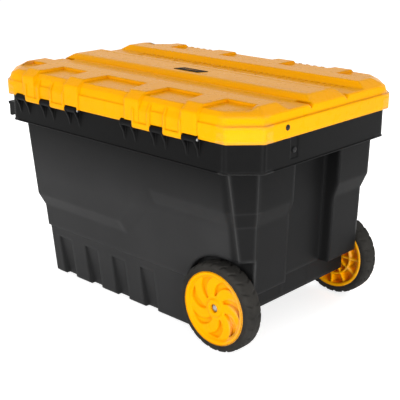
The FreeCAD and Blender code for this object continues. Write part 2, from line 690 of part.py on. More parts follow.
def hinge_spans(start):
    """Ends along X of one hinge's three tub knuckles and of the two lid knuckles between them."""
    pitch = s.tub_knuckle + s.lid_knuckle
    tub_spans = [(start + pitch * i, start + pitch * i + s.tub_knuckle) for i in range(3)]
    lid_spans = [
        (start + pitch * i + s.tub_knuckle + s.knuckle_gap, start + pitch * (i + 1) - s.knuckle_gap)
        for i in range(2)
    ]
    return tub_spans, lid_spans


def tub_knuckle(name, start, end):
    """Barrel on the rim, with a bridge to the collar and two curved-in gussets below."""
    face = -(s.lid_width / 2 - s.rim_inset)
    front = -s.hinge_y - s.barrel_radius
    barrel = rod(f"{name}_barrel", "x", s.barrel_radius, (start, -s.hinge_y, s.hinge_z), end - start)
    root = face + s.overlap
    bridge = box(f"{name}_bridge", (start, -s.hinge_y, s.hinge_z - s.barrel_radius),
                 (end, root, s.hinge_z + s.barrel_radius / 2))
    low = s.hinge_z - s.barrel_radius / 2
    mid_z = (low + s.gusset_foot_z) / 2
    loop = [
        (front, s.hinge_z), (front, low), (face - s.gusset_waist, mid_z), (face, s.gusset_foot_z),
        (root, s.gusset_foot_z), (root, s.hinge_z),
    ]
    webs = [
        prism(f"{name}_web_{side}", "YZ", x, x + s.gusset, loop)
        for side, x in (("a", start), ("b", end - s.gusset))
    ]
    return [barrel, bridge] + webs


def latch_lugs(name, centre):
    """Two lugs on the rim that carry one latch pin."""
    face = s.lid_width / 2 - s.rim_inset
    reach = s.latch_width / 2 + s.latch_side_gap
    lugs = []
    for side, low in (("a", centre - reach - s.lug_width), ("b", centre + reach)):
        eye = rod(f"{name}_eye_{side}", "x", s.latch_barrel,
                  (low, s.latch_pivot_y, s.latch_pivot_z), s.lug_width)
        root = box(f"{name}_root_{side}", (low, face - s.overlap, s.latch_pivot_z - s.latch_barrel),
                   (low + s.lug_width, s.latch_pivot_y, s.latch_pivot_z + s.latch_barrel))
        lugs += [eye, root]
    return lugs


def axle_brackets():
    """Plates across the axle bay that hold the axle, and the skirt in front of them."""
    outer = s.wheel_outer_y - s.wheel_width - s.well_side_gap
    places = (
        ("far_a", -outer), ("mid_a", -s.bracket_inner_y - s.bracket_width),
        ("mid_b", s.bracket_inner_y), ("far_b", outer - s.bracket_width),
    )
    low = s.wheel_radius - s.bracket_below
    skirt_back = s.bay_skirt_x - s.tub_wall
    back = s.bay_wall_x - s.overlap
    top = s.bay_roof_z + s.overlap
    plates = [
        box(f"bracket_{tag}", (back, y, low), (skirt_back + s.overlap, y + s.bracket_width, top))
        for tag, y in places
    ]
    return plates + [box("bay_skirt", (skirt_back, -outer, s.bay_skirt_z), (s.bay_skirt_x, outer, top))]


def make_tub():
    """Tub with its rim collar, hinge knuckles, latch lugs and axle brackets."""
    outside = tub_form("outside", dim(0), dim(0))
    inside = tub_form("inside", s.tub_wall, s.tub_wall)
    mouth = loft("mouth", [
        tub_section("mouth_low", s.rim_top_z - s.tub_wall, s.tub_wall),
        tub_section("mouth_high", s.rim_top_z + s.overlap, s.tub_wall),
    ])
    parts = [outside, rim_collar()] + axle_brackets()
    holes = [inside, mouth]
    for tag, start in HINGE_STARTS:
        tub_spans, lid_spans = hinge_spans(start)
        for i, (low, high) in enumerate(tub_spans):
            parts += tub_knuckle(f"tub_knuckle_{tag}_{i}", low, high)
        for i, (low, high) in enumerate(lid_spans):
            holes.append(rod(f"knuckle_room_{tag}_{i}", "x", s.barrel_radius + s.knuckle_room,
                             (low - s.knuckle_gap, -s.hinge_y, s.hinge_z), high - low + s.knuckle_gap * 2))
        holes.append(rod(f"tub_pin_hole_{tag}", "x", s.hinge_pin_radius + s.hinge_pin_fit,
                         (tub_spans[0][0] - s.overlap, -s.hinge_y, s.hinge_z),
                         tub_spans[2][1] - tub_spans[0][0] + s.overlap * 2))
    for tag, centre in LATCH_PLACES:
        parts += latch_lugs(f"lug_{tag}", centre)
        reach = s.latch_width / 2 + s.latch_side_gap + s.lug_width + s.overlap
        holes.append(rod(f"lug_hole_{tag}", "x", s.latch_pin_radius + s.latch_pin_fit,
                         (centre - reach, s.latch_pivot_y, s.latch_pivot_z), reach * 2))
    side = s.lid_width / 2
    holes.append(rod("axle_hole", "y", s.axle_radius + s.axle_fit, (s.wheel_x, -side, s.wheel_radius),
                     s.lid_width))
    holes += tub_screw_holes() + [screw_pad(tag, sign) for tag, sign in END_SIGNS]
    return named("tub", cut("tub", fuse("tub_solid", parts), holes))


def rim_face_x(sign):
    """End face of the rim collar at the right (1) or the left (-1)."""
    return (s.lid_length / 2 - s.rim_inset) * sign


def screw_pad(tag, sign):
    """Shallow upright dish round a rim screw, open to the lid edge."""
    face = rim_face_x(sign)
    half = s.screw_pad / 2
    low_x, high_x = ordered(face - s.screw_pad_depth * sign, face + s.overlap * sign)
    return box(f"screw_pad_{tag}", (low_x, s.tub_screw_y - half, s.tub_screw_z - s.screw_pad_below),
               (high_x, s.tub_screw_y + half, s.rim_top_z + s.overlap))


def ordered(a, b):
    """Two lengths, the lower one first."""
    return (a, b) if a.value < b.value else (b, a)


def face_hole(name, face, sign, y, z, depth):
    """Clearance hole for a screw shank that goes in through an end face."""
    low, high = ordered(face + s.overlap * sign, face - depth * sign)
    return rod(name, "x", s.screw_radius + s.screw_fit, (low, y, z), high - low)


def tub_screw_holes():
    """Clearance holes in the rim for its end screws and the tow handle's screws."""
    depth = s.rim_wall + s.overlap
    holes = [
        face_hole(f"rim_screw_hole_{tag}", rim_face_x(sign), sign, s.tub_screw_y, s.tub_screw_z, depth)
        for tag, sign in END_SIGNS
    ]
    for i, y in enumerate(handle_screw_ys()):
        holes.append(face_hole(f"handle_screw_hole_{i}", rim_face_x(-1), -1, y, s.handle_screw_z, depth))
    return holes


def handle_screw_ys():
    """Places of the tow handle's four screws along Y."""
    return (-s.handle_screw_far_y, -s.handle_screw_y, s.handle_screw_y, s.handle_screw_far_y)


def lid_shell():
    """Skirt and dome with the two grooves and the void inside."""
    skirt = prism("skirt", "XY", s.lid_edge_z, s.lid_shoulder_z, lid_loop(dim(0), dim(0)))
    skirt = rounded("skirt_round", skirt, s.lid_corner_round, upright)
    waist_end = s.lid_ledge + s.dome_wall_run
    waist_side = s.lid_side_ledge + s.dome_wall_run
    top_end = s.lid_ledge + s.dome_end_run
    top_side = s.lid_side_ledge + s.dome_side_run
    dome = loft("dome", [
        outline("dome_foot", "XY", s.lid_shoulder_z, lid_loop(s.lid_ledge, s.lid_side_ledge)),
        outline("dome_waist", "XY", s.dome_waist_z, lid_loop(waist_end, waist_side)),
        outline("dome_top", "XY", s.lid_top_z, lid_loop(top_end, top_side)),
    ])
    dome = rounded("dome_corners", dome, s.lid_corner_round, upright)
    dome = rounded("dome_edge", dome, s.dome_round, at_lid_top)
    solid = fuse("lid_solid", [skirt, dome])
    return cut("lid_shell", solid, [groove_cutter("groove", dim(0)), lid_void()])


def at_lid_top(edge):
    """True for an edge that lies level with the lid's top."""
    return all(abs(vertex.Z - s.lid_top_z.value) < s.overlap.value for vertex in edge.Vertexes)


def dome_side_y(height):
    """Distance of the dome's sloping side from the middle at a height over its steep lower wall."""
    slope = (s.dome_side_run - s.dome_wall_run) / (s.lid_top_z - s.dome_waist_z)
    waist = s.lid_width / 2 - s.lid_side_ledge - s.dome_wall_run
    return waist - slope * (height - s.dome_waist_z)


def groove_cutter(name, grow):
    """Both long grooves as one cutter, grown by a wall for the space under them."""
    floor = s.lid_top_z - s.groove_depth - grow
    loops = []
    for sign in (-1, 1):
        corners = [
            (s.plateau_edge_y + grow, s.lid_top_z), (s.plateau_edge_y - s.plateau_run + grow, floor),
            (s.ridge_half + s.ridge_run - grow, floor), (s.ridge_half - grow, s.lid_top_z),
        ]
        loops.append([(y * sign, z) for y, z in corners])
    end = s.lid_length / 2
    return prism(name, "YZ", -end, end, *loops)


def lid_void():
    """Space inside the lid: over the rim, then under the dome, less what the grooves and pockets take."""
    seat_z = s.rim_top_z + s.seat_gap
    seat_inset = s.rim_inset + s.seat_width
    low = prism("void_skirt", "XY", s.lid_edge_z - s.overlap, seat_z, lid_loop(s.lid_wall, s.lid_wall))
    top_end = s.lid_ledge + s.dome_end_run + s.lid_wall
    top_side = s.lid_side_ledge + s.dome_side_run + s.lid_wall
    high = loft("void_dome", [
        outline("void_foot", "XY", seat_z, lid_loop(seat_inset, seat_inset)),
        outline("void_waist", "XY", s.dome_waist_z - s.lid_wall, lid_loop(seat_inset, seat_inset)),
        outline("void_top", "XY", s.lid_top_z - s.lid_wall, lid_loop(top_end, top_side)),
    ])
    rooms = [groove_cutter("groove_room", s.lid_wall)] + drain_notches("drain_room", s.lid_wall)
    rooms += lid_pockets("room", s.lid_wall)
    high = cut("void_high", high, rooms)
    return fuse("void", [low, high])


def pocket_ends(name):
    """Left and right ends of a pocket's far wall."""
    half_length = s.lid_length / 2
    return half_length * getattr(s, f"{name}_left"), half_length * getattr(s, f"{name}_right")


def lid_pockets(tag, grow):
    """Pockets in both side plateaus; on the latch side there is one over each latch bay too."""
    places = [(name, -1, *pocket_ends(name)) for name, _, _ in LID_POCKETS]
    places += [(f"latch_side_{name}", 1, *pocket_ends(name)) for name in LATCH_SIDE_POCKETS]
    for side, centre in LATCH_PLACES:
        places.append((f"bay_pocket_{side}", 1, centre - latch_bay_half(), centre + latch_bay_half()))
    return [lid_pocket(f"{name}_{tag}", sign, left, right, grow) for name, sign, left, right in places]


def lid_pocket(name, sign, left, right, grow):
    """Pocket with a level floor that widens towards the hinge side (-1) or the latch side (1)."""
    side = (s.lid_width / 2 + s.overlap) * sign
    far = (s.pocket_far_y - grow) * sign
    loop = [
        (left - grow, far), (left - s.pocket_flare_left - grow, side),
        (right + s.pocket_flare_right + grow, side), (right + grow, far),
    ]
    floor = s.lid_top_z - s.pocket_depth - grow
    return prism(name, "XY", floor, s.lid_top_z + s.overlap, loop)


def lid_pads():
    """Pads on the hinge side, one between each two pockets, that stand proud of the skirt."""
    side = s.lid_width / 2
    top_y = -dome_side_y(s.lid_top_z)
    front = -side - s.pad_proud
    root = s.overlap - side
    loop = [
        (front, s.lid_edge_z), (front, s.dome_waist_z), (top_y - s.pad_proud, s.lid_top_z),
        (top_y + s.dome_round, s.lid_top_z), (root, s.lid_shoulder_z), (root, s.lid_edge_z),
    ]
    pads = []
    for (before, _, _), (after, _, _) in zip(LID_POCKETS, LID_POCKETS[1:]):
        low = pocket_ends(before)[1] + s.pocket_flare_right
        high = pocket_ends(after)[0] - s.pocket_flare_left
        pad = prism(f"pad_{before}", "YZ", low, high, loop)
        pads.append(rounded(f"pad_{before}_round", pad, s.dome_round, on_pad_front))
    return pads


def on_pad_front(edge):
    """True for the two long edges that bend a pad from its front over to the lid's top."""
    middle = edge.CenterOfMass
    in_front = middle.y < -dome_side_y(s.lid_top_z).value - s.overlap.value
    return not upright(edge) and in_front and middle.z > s.lid_shoulder_z.value


def drain_notches(tag, grow):
    """Small V notches that let the groove ends drain past the middle ridge."""
    foot = s.ridge_half + s.ridge_run
    floor = s.lid_top_z - s.groove_depth
    top = floor + s.overlap
    half = s.drain_width / 2 + grow * 2
    low = floor - s.drain_depth - grow
    loops = [
        [((foot - half) * sign, top), (foot * sign, low), ((foot + half) * sign, top)] for sign in (-1, 1)
    ]
    end = s.lid_length / 2
    length = s.drain_length + grow
    return [
        prism(f"{tag}_right", "YZ", end - length, end - s.lid_ledge, *loops),
        prism(f"{tag}_left", "YZ", s.lid_ledge - end, length - end, *loops),
    ]


def lid_knuckle(name, start, end):
    """Barrel under the lid skirt and the arm that carries it, with a sunk panel in the arm's front."""
    barrel = rod(f"{name}_barrel", "x", s.barrel_radius, (start, -s.hinge_y, s.hinge_z), end - start)
    front = -s.hinge_y - s.barrel_radius
    top_y = -dome_side_y(s.arm_top_z)
    root = s.lid_wall - s.lid_width / 2
    arm = prism(f"{name}_arm", "YZ", start, end, [
        (front, s.hinge_z), (front, s.arm_front_z), (top_y, s.arm_top_z),
        (top_y + s.overlap, s.arm_top_z), (root, s.lid_shoulder_z), (root, s.hinge_z),
    ])
    panel_top_y = top_y + s.panel_depth
    panel_front = front + s.panel_depth
    low = s.hinge_z + s.barrel_radius
    panel = prism(f"{name}_panel", "YZ", start + s.panel_border, end - s.panel_border, [
        (front - s.overlap, low), (panel_front, low), (panel_front, s.arm_front_z),
        (panel_top_y, s.arm_top_z), (front - s.overlap, s.arm_top_z),
    ])
    return [barrel, cut(f"{name}_framed", arm, [panel])]


def latch_bay_half():
    """Half of a latch bay's length along X."""
    return s.latch_width / 2 + s.latch_bay_side


def latch_bay(name, centre):
    """Bay in the latch side of the lid whose floor the closed hook holds down."""
    return box(name, (centre - latch_bay_half(), s.latch_bay_y, s.latch_seat_z),
               (centre + latch_bay_half(), s.lid_width / 2 + s.overlap, s.lid_top_z + s.overlap))


def latch_bay_ribs(name, centre):
    """Upright ribs on the back wall of a latch bay, up to the floor of the pocket over it."""
    count = int(s.bay_ribs.value)
    pitch = latch_bay_half() * 2 / count
    top = s.lid_top_z - s.pocket_depth
    low = s.latch_seat_z - s.overlap
    front = s.latch_bay_y + s.bay_rib_proud
    root = s.latch_bay_y - s.overlap
    loop = [(root, low), (front, low), (front, top), (root, top)]
    ribs = []
    for i in range(count):
        left = centre - latch_bay_half() + pitch * (i + 0.5) - s.bay_rib / 2
        ribs.append(prism(f"{name}_{i}", "YZ", left, left + s.bay_rib, loop))
    return ribs


def make_lid():
    """Lid with its grooves, pockets, hinge knuckles and latch bays."""
    shell_holes = drain_notches("drain", dim(0)) + lid_pockets("cut", dim(0))
    for tag, centre in LATCH_PLACES:
        shell_holes.append(latch_bay(f"latch_bay_{tag}", centre))
    shell = cut("lid_cut", lid_shell(), shell_holes)
    parts = [shell] + lid_pads()
    holes = []
    room = s.barrel_radius + s.knuckle_room
    for tag, start in HINGE_STARTS:
        tub_spans, lid_spans = hinge_spans(start)
        for i, (low, high) in enumerate(lid_spans):
            parts += lid_knuckle(f"lid_knuckle_{tag}_{i}", low, high)
        _, hinge_end = tub_spans[-1]
        tub_spans[-1] = (tub_spans[-1][0], hinge_end + s.pin_head)
        for i, (low, high) in enumerate(tub_spans):
            holes.append(box(f"tub_knuckle_room_{tag}_{i}",
                             (low - s.knuckle_gap, -s.hinge_y - room, s.lid_edge_z - s.overlap),
                             (high + s.knuckle_gap, s.lid_wall + s.overlap - s.lid_width / 2,
                              s.hinge_z + room)))
        length = hinge_end - start
        holes.append(rod(f"lid_pin_hole_{tag}", "x", s.hinge_pin_radius + s.hinge_pin_fit,
                         (start, -s.hinge_y, s.hinge_z), length))
    for tag, centre in LATCH_PLACES:
        parts += latch_bay_ribs(f"bay_rib_{tag}", centre)
    holes += lid_screw_holes()
    return named("lid", cut("lid", fuse("lid_parts", parts), holes))


def lid_screw_holes():
    """Holes for the lid's end screws, in the thick wall over its seat."""
    depth = s.lid_screw_length + s.screw_fit
    return [
        face_hole(f"lid_screw_hole_{tag}", s.lid_length / 2 * sign, sign, s.lid_screw_y, s.lid_screw_z, depth)
        for tag, sign in END_SIGNS
    ]


def make_hinge_pins():
    """One steel pin per hinge, headed at its right end."""
    pins = []
    for tag, start in HINGE_STARTS:
        tub_spans, _ = hinge_spans(start)
        end = tub_spans[2][1]
        name = f"hinge_pin_{tag}"
        shank = rod(f"{name}_shank", "x", s.hinge_pin_radius, (start, -s.hinge_y, s.hinge_z), end - start)
        head = rod(f"{name}_head", "x", s.hinge_pin_radius + s.pin_head / 2,
                   (end, -s.hinge_y, s.hinge_z), s.pin_head)
        pins.append(named(name, fuse(name, [shank, head])))
    return pins


def make_latch(tag, centre):
    """Latch lever as it hangs open below its pin: plate, barrel and hook."""
    name = f"latch_{tag}"
    half = s.latch_width / 2
    face = s.latch_pivot_y - s.latch_thickness / 2
    tip = s.latch_pivot_z - s.latch_length
    plate = box(f"{name}_plate", (centre - half, face, tip),
                (centre + half, face + s.latch_thickness, s.latch_pivot_z))
    barrel = rod(f"{name}_barrel", "x", s.latch_barrel, (centre - half, s.latch_pivot_y, s.latch_pivot_z),
                 s.latch_width)
    hook = box(f"{name}_hook", (centre - half, face, tip),
               (centre + half, face + s.latch_thickness + s.latch_hook, tip + s.latch_tip))
    hole = rod(f"{name}_hole", "x", s.latch_pin_radius + s.latch_pin_fit,
               (centre - half - s.overlap, s.latch_pivot_y, s.latch_pivot_z), s.latch_width + s.overlap * 2)
    return named(name, cut(name, fuse(f"{name}_solid", [plate, barrel, hook]), [hole]))


def make_latch_pin(tag, centre):
    """Pin through a latch and its two lugs."""
    reach = s.latch_width / 2 + s.latch_side_gap + s.lug_width
    name = f"latch_pin_{tag}"
    return named(name, rod(name, "x", s.latch_pin_radius,
                           (centre - reach, s.latch_pivot_y, s.latch_pivot_z), reach * 2))


def revolved(name, loop):
    """Solid of a profile in Y and height turned about the axle."""
    solid = doc.addObject("Part::Revolution", name)
    solid.Source = outline(f"{name}_profile", "YZ", s.wheel_x, loop)
    solid.Axis = Vector(0, 1, 0)
    bind(solid, "Base.x", s.wheel_x)
    bind(solid, "Base.z", s.wheel_radius)
    solid.Angle = 360
    solid.Solid = True
    return solid


def wheel_profile(sign, points):
    """Profile points given as depth from the wheel's inner face and radius."""
    inner = s.wheel_outer_y - s.wheel_width
    return [((inner + depth) * sign, s.wheel_radius + radius) for depth, radius in points]


def axle_centre():
    """Point on the axle in the box's middle plane."""
    return Vector(s.wheel_x.value, 0, s.wheel_radius.value)


def make_hub(tag, sign):
    """Wheel hub: rim, dished web with swirl recesses outside and ribs inside, and a boss bored for a ring."""
    name = f"wheel_hub_{tag}"
    bore = s.axle_radius + s.axle_fit
    ring_bore = s.cap_radius + s.cap_room
    rim_inner = s.hub_radius - s.hub_rim
    web_out = s.wheel_width - s.hub_dish
    web_in = web_out - s.hub_web
    boss_out = s.wheel_width - s.boss_inset
    ring_floor = boss_out - s.cap_bore_depth
    body = revolved(f"{name}_turned", wheel_profile(sign, [
        (dim(0), bore), (dim(0), s.boss_radius), (web_in, s.boss_radius), (web_in, rim_inner),
        (s.tyre_inset, rim_inner), (s.tyre_inset, s.hub_radius), (s.wheel_width, s.hub_radius),
        (s.wheel_width, rim_inner), (web_out, rim_inner - s.hub_dish / 2), (web_out, s.boss_radius),
        (boss_out, s.boss_radius - s.boss_inset), (boss_out, ring_bore), (ring_floor, ring_bore),
        (ring_floor, bore),
    ]))
    swirl = doc.addObject("Part::Feature", f"{name}_swirl")
    swirl.Shape = swirl_cutter(sign)
    swirls = turned_copies(f"{name}_swirls", swirl, int(s.hub_blades.value), axle_centre())
    inner = s.wheel_outer_y - s.wheel_width
    rib_top = web_in + s.overlap
    low_y, high_y = ordered((inner + s.hub_rib_inset) * sign, (inner + rib_top) * sign)
    rib = box(f"{name}_rib", (s.wheel_x - s.hub_rib / 2, low_y, s.wheel_radius + s.boss_radius - s.overlap),
              (s.wheel_x + s.hub_rib / 2, high_y, s.wheel_radius + rim_inner + s.overlap))
    ribs = turned_copies(f"{name}_ribs", rib, int(s.hub_ribs.value), axle_centre())
    ring_low = s.ring_rib_radius - s.hub_rib / 2
    ring_high = s.ring_rib_radius + s.hub_rib / 2
    ring_rib = revolved(f"{name}_ring_rib", wheel_profile(sign, [
        (s.hub_rib_inset, ring_low), (s.hub_rib_inset, ring_high), (rib_top, ring_high), (rib_top, ring_low),
    ]))
    return named(name, cut(name, fuse(f"{name}_ribbed", [body, ribs, ring_rib]), [swirls]))


def swirl_cutter(sign):
    """Curved recess, narrow at the boss, between two arcs that lean from there out to the rim."""
    low = (s.boss_radius + s.blade_root).value
    high = (s.hub_radius - s.hub_rim - s.hub_dish).value
    middle = (low + high) / 2
    pitch = 360 / s.hub_blades.value
    foot = pitch * s.blade_foot.value / 2
    tip = pitch * s.blade_tip.value / 2
    waist = (foot + tip) / 2
    twist = s.blade_twist.value
    bend = twist * s.blade_curve.value
    edges = [
        Part.Arc(on_web(low, -foot), on_web(middle, bend - waist), on_web(high, twist - tip)),
        Part.Arc(on_web(high, twist - tip), on_web(high, twist), on_web(high, twist + tip)),
        Part.Arc(on_web(high, twist + tip), on_web(middle, bend + waist), on_web(low, foot)),
        Part.Arc(on_web(low, foot), on_web(low, 0), on_web(low, -foot)),
    ]
    face = Part.Face(Part.Wire([edge.toShape() for edge in edges]))
    depth = (s.hub_dish + s.blade_depth).value
    face.translate(Vector(0, (s.wheel_outer_y.value - depth) * sign, 0))
    return face.extrude(Vector(0, (depth + s.overlap.value) * sign, 0))


def on_web(radius, angle):
    """Point at a radius and an angle about the axle, in the box's middle plane."""
    turn = math.radians(angle)
    return axle_centre() + Vector(radius * math.sin(turn), 0, radius * math.cos(turn))


def make_tyre(tag, sign):
    """Tyre with bevelled shoulders and slanted tread grooves on both of them."""
    name = f"tyre_{tag}"
    seat = s.hub_radius + s.tyre_fit
    low = s.wheel_radius - s.tyre_shoulder
    outer = s.wheel_width - s.tyre_inset
    body = revolved(f"{name}_turned", wheel_profile(sign, [
        (s.tyre_inset, seat), (s.tyre_inset, low), (s.tyre_shoulder, s.wheel_radius),
        (s.wheel_width - s.tyre_shoulder, s.wheel_radius), (outer, low), (outer, seat),
    ]))
    middle = (s.wheel_outer_y - s.wheel_width / 2) * sign
    length = s.wheel_width / 2
    lugs = int(s.tread_lugs.value)
    tools = []
    for side, turn, start in (
        ("low_side", -s.tread_skew.value, middle - s.tread_gap - length),
        ("high_side", s.tread_skew.value, middle + s.tread_gap),
    ):
        left = s.wheel_x - s.tread_groove / 2
        floor = s.wheel_radius * 2 - s.tread_depth
        groove = box(f"{name}_groove_{side}", (left, start, floor),
                     (left + s.tread_groove, start + length, s.wheel_radius * 2 + s.overlap))
        groove.Placement.Rotation = Rotation(Vector(0, 0, 1), turn)
        tools.append(turned_copies(f"{name}_grooves_{side}", groove, lugs, axle_centre()))
    return named(name, cut(name, body, tools))


def make_axle():
    """Steel axle through the brackets and both hubs, with its ends inside their bosses."""
    reach = cap_seat_y() + s.cap_thickness + s.axle_stub
    return named("axle", rod("axle", "y", s.axle_radius, (s.wheel_x, -reach, s.wheel_radius), reach * 2))


def make_spacer(tag, sign):
    """Ring between the outer axle bracket and the hub boss."""
    name = f"axle_spacer_{tag}"
    inner = s.wheel_outer_y - s.wheel_width - s.well_side_gap + s.spacer_gap / 2
    length = s.well_side_gap - s.spacer_gap
    start, _ = ordered(inner * sign, (inner + length) * sign)
    ring = rod(f"{name}_ring", "y", s.spacer_radius, (s.wheel_x, start, s.wheel_radius), length)
    bore = rod(f"{name}_bore", "y", s.axle_radius + s.axle_fit,
               (s.wheel_x, start - s.overlap, s.wheel_radius), length + s.overlap * 2)
    return named(name, cut(name, ring, [bore]))


def cap_seat_y():
    """Inner face of a retaining ring, just off the floor of its bore in the boss."""
    return s.wheel_outer_y - s.boss_inset - s.cap_bore_depth + s.spacer_gap


def make_cap(tag, sign):
    """Retaining ring pressed on the axle inside the boss, which keeps a wheel on."""
    name = f"axle_cap_{tag}"
    low, _ = ordered(cap_seat_y() * sign, (cap_seat_y() + s.cap_thickness) * sign)
    disc = rod(f"{name}_disc", "y", s.cap_radius, (s.wheel_x, low, s.wheel_radius), s.cap_thickness)
    bore = rod(f"{name}_bore", "y", s.axle_radius + s.axle_fit,
               (s.wheel_x, low - s.overlap, s.wheel_radius), s.cap_thickness + s.overlap * 2)
    return named(name, cut(name, disc, [bore]))


def make_tow_handle():
    """Moulded grab handle across the left end: back plate, shelf, turned-down lip and two cheeks."""
    face = rim_face_x(-1)
    tip = face - s.handle_reach
    back = face - s.handle_back
    top = s.handle_top_z
    lip = tip + s.handle_brow
    lip_back = lip + s.handle_lip
    under = top - s.handle_shelf
    lip_foot = top - s.handle_drop
    back_foot = top - s.handle_back_drop
    profile = [
        (face, top), (tip, top), (tip, under + s.handle_brow_bevel), (lip, under), (lip, lip_foot),
        (lip_back, lip_foot), (lip_back, under), (back, under), (back, back_foot), (face, back_foot),
    ]
    beam = prism("handle_beam", "XZ", -s.handle_half, s.handle_half, profile)
    cheek = [
        (face, top - s.overlap), (lip + s.overlap, top - s.overlap), (lip + s.overlap, lip_foot),
        (lip_back, lip_foot), (face, back_foot),
    ]
    cheeks = [
        prism(f"handle_cheek_{tag}", "XZ", y, y + s.handle_cheek, cheek)
        for tag, y in (("a", -s.handle_half), ("b", s.handle_half - s.handle_cheek))
    ]
    depth = s.handle_back + s.overlap
    holes = [
        face_hole(f"handle_hole_{i}", back, -1, y, s.handle_screw_z, depth)
        for i, y in enumerate(handle_screw_ys())
    ]
    return named("tow_handle", cut("tow_handle", fuse("handle_solid", [beam] + cheeks), holes))


def screw(name, face, sign, y, z, length):
    """Pan-head screw: its head on an end face and its shank pointing into the box."""
    low, _ = ordered(face, face + s.screw_head * sign)
    head = rod(f"{name}_head", "x", s.screw_head_radius, (low, y, z), s.screw_head)
    low, _ = ordered(face, face - length * sign)
    shank = rod(f"{name}_shank", "x", s.screw_radius, (low, y, z), length)
    return fuse(name, [head, shank])


def nut(name, face, sign, y, z):
    """Hexagon nut on the inner face that a screw comes through."""
    solid = doc.addObject("Part::Prism", f"{name}_hex")
    solid.Polygon = 6
    bind(solid, "Circumradius", s.nut_radius)
    bind(solid, "Height", s.nut_height)
    solid.Placement = Placement(Vector(), AXIS_TURN["x"])
    low, _ = ordered(face, face - s.nut_height * sign)
    place(solid, low, y, z)
    bore = rod(f"{name}_bore", "x", s.screw_radius + s.nut_fit, (low - s.overlap, y, z),
               s.nut_height + s.overlap * 2)
    return cut(name, solid, [bore])


def make_screw_sets():
    """Screws and nuts at the lid ends, the rim ends and the tow handle."""
    lid_screws, rim_screws, rim_nuts = [], [], []
    for tag, sign in END_SIGNS:
        lid_screws.append(screw(f"lid_screw_{tag}", s.lid_length / 2 * sign, sign, s.lid_screw_y,
                                s.lid_screw_z, s.lid_screw_length))
        outside = rim_face_x(sign) - s.screw_pad_depth * sign
        inside = rim_face_x(sign) - s.rim_wall * sign
        length = s.rim_wall - s.screw_pad_depth + s.nut_height
        rim_screws.append(screw(f"rim_screw_{tag}", outside, sign, s.tub_screw_y, s.tub_screw_z, length))
        rim_nuts.append(nut(f"rim_nut_{tag}", inside, sign, s.tub_screw_y, s.tub_screw_z))
    handle_screws, handle_nuts = [], []
    outside = rim_face_x(-1) - s.handle_back
    inside = rim_face_x(-1) + s.rim_wall
    length = s.handle_back + s.rim_wall + s.nut_height
    for i, y in enumerate(handle_screw_ys()):
        handle_screws.append(screw(f"handle_screw_{i}", outside, -1, y, s.handle_screw_z, length))
        handle_nuts.append(nut(f"handle_nut_{i}", inside, -1, y, s.handle_screw_z))
    return [
        named("lid_stay_screws", group("lid_stay_screws", lid_screws)),
        named("rim_stay_screws", group("rim_stay_screws", rim_screws)),
        named("rim_stay_nuts", group("rim_stay_nuts", rim_nuts)),
        named("tow_handle_screws", group("tow_handle_screws", handle_screws)),
        named("tow_handle_nuts", group("tow_handle_nuts", handle_nuts)),
    ]


def make_badge():
    """Bare leaning badge plate on the middle ridge."""
    half = s.badge_length / 2
    low = s.badge_y - s.badge_width / 2
    high = s.badge_y + s.badge_width / 2
    loop = [
        (s.badge_x - half, low), (s.badge_x + half - s.badge_lean, low),
        (s.badge_x + half, high), (s.badge_x - half + s.badge_lean, high),
    ]
    return named("lid_badge", prism("lid_badge", "XY", s.lid_top_z, s.lid_top_z + s.badge_thickness, loop))


def named(label, solid):
    """Give a finished sub-part its label."""
    solid.Label = label
    return solid


def build_all():
    """Every sub-part, in the order it would be put together."""
    nodes = [make_tub(), make_lid()] + make_hinge_pins()
    for tag, centre in LATCH_PLACES:
        nodes += [make_latch(tag, centre), make_latch_pin(tag, centre)]
    nodes.append(make_axle())
    for tag, sign in WHEEL_SIGNS:
        nodes += [make_hub(tag, sign), make_tyre(tag, sign), make_spacer(tag, sign), make_cap(tag, sign)]
    nodes.append(make_tow_handle())
    nodes += make_screw_sets()
    nodes.append(make_badge())
    return nodes


def check(nodes):
    """Stop if any object failed or any sub-part has no valid shape."""
    failed = [obj.Name for obj in doc.Objects if {"Invalid", "Error"} & set(obj.State)]
    if failed:
        raise RuntimeError(f"failed objects: {failed}")
    for node in nodes:
        if node.Shape.isNull() or not node.Shape.isValid() or not node.Shape.Solids:
            raise RuntimeError(f"bad shape: {node.Label}")


def write(nodes):
    """Write one file for each sub-part."""
    os.makedirs("parts", exist_ok=True)
    for node in nodes:
        node.Shape.exportStep(f"parts/{node.Label}.step")


sub_parts = build_all()
doc.recompute()
check(sub_parts)
write(sub_parts)
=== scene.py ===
"""Looks of a wheeled jobsite storage box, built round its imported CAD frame.

Lengths are metres and +Z is up.  The wheels are at the box's +X end, its hinges on -Y and its latches on +Y.
"""
import math

import bmesh
import bpy
import numpy as np
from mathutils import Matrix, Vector


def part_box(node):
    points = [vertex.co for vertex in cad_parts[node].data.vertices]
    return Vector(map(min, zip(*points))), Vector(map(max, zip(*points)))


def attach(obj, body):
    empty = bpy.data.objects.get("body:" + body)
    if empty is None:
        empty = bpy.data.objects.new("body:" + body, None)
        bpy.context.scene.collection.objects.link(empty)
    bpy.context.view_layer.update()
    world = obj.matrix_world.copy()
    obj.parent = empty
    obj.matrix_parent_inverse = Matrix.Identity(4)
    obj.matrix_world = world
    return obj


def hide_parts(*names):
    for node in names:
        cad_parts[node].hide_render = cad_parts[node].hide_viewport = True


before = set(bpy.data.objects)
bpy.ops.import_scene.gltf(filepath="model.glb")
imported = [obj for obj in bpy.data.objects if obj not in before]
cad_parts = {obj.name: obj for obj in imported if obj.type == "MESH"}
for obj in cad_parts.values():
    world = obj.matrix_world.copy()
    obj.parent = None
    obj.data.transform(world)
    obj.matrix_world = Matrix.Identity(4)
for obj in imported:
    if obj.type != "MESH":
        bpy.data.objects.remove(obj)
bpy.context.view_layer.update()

MM = 0.001

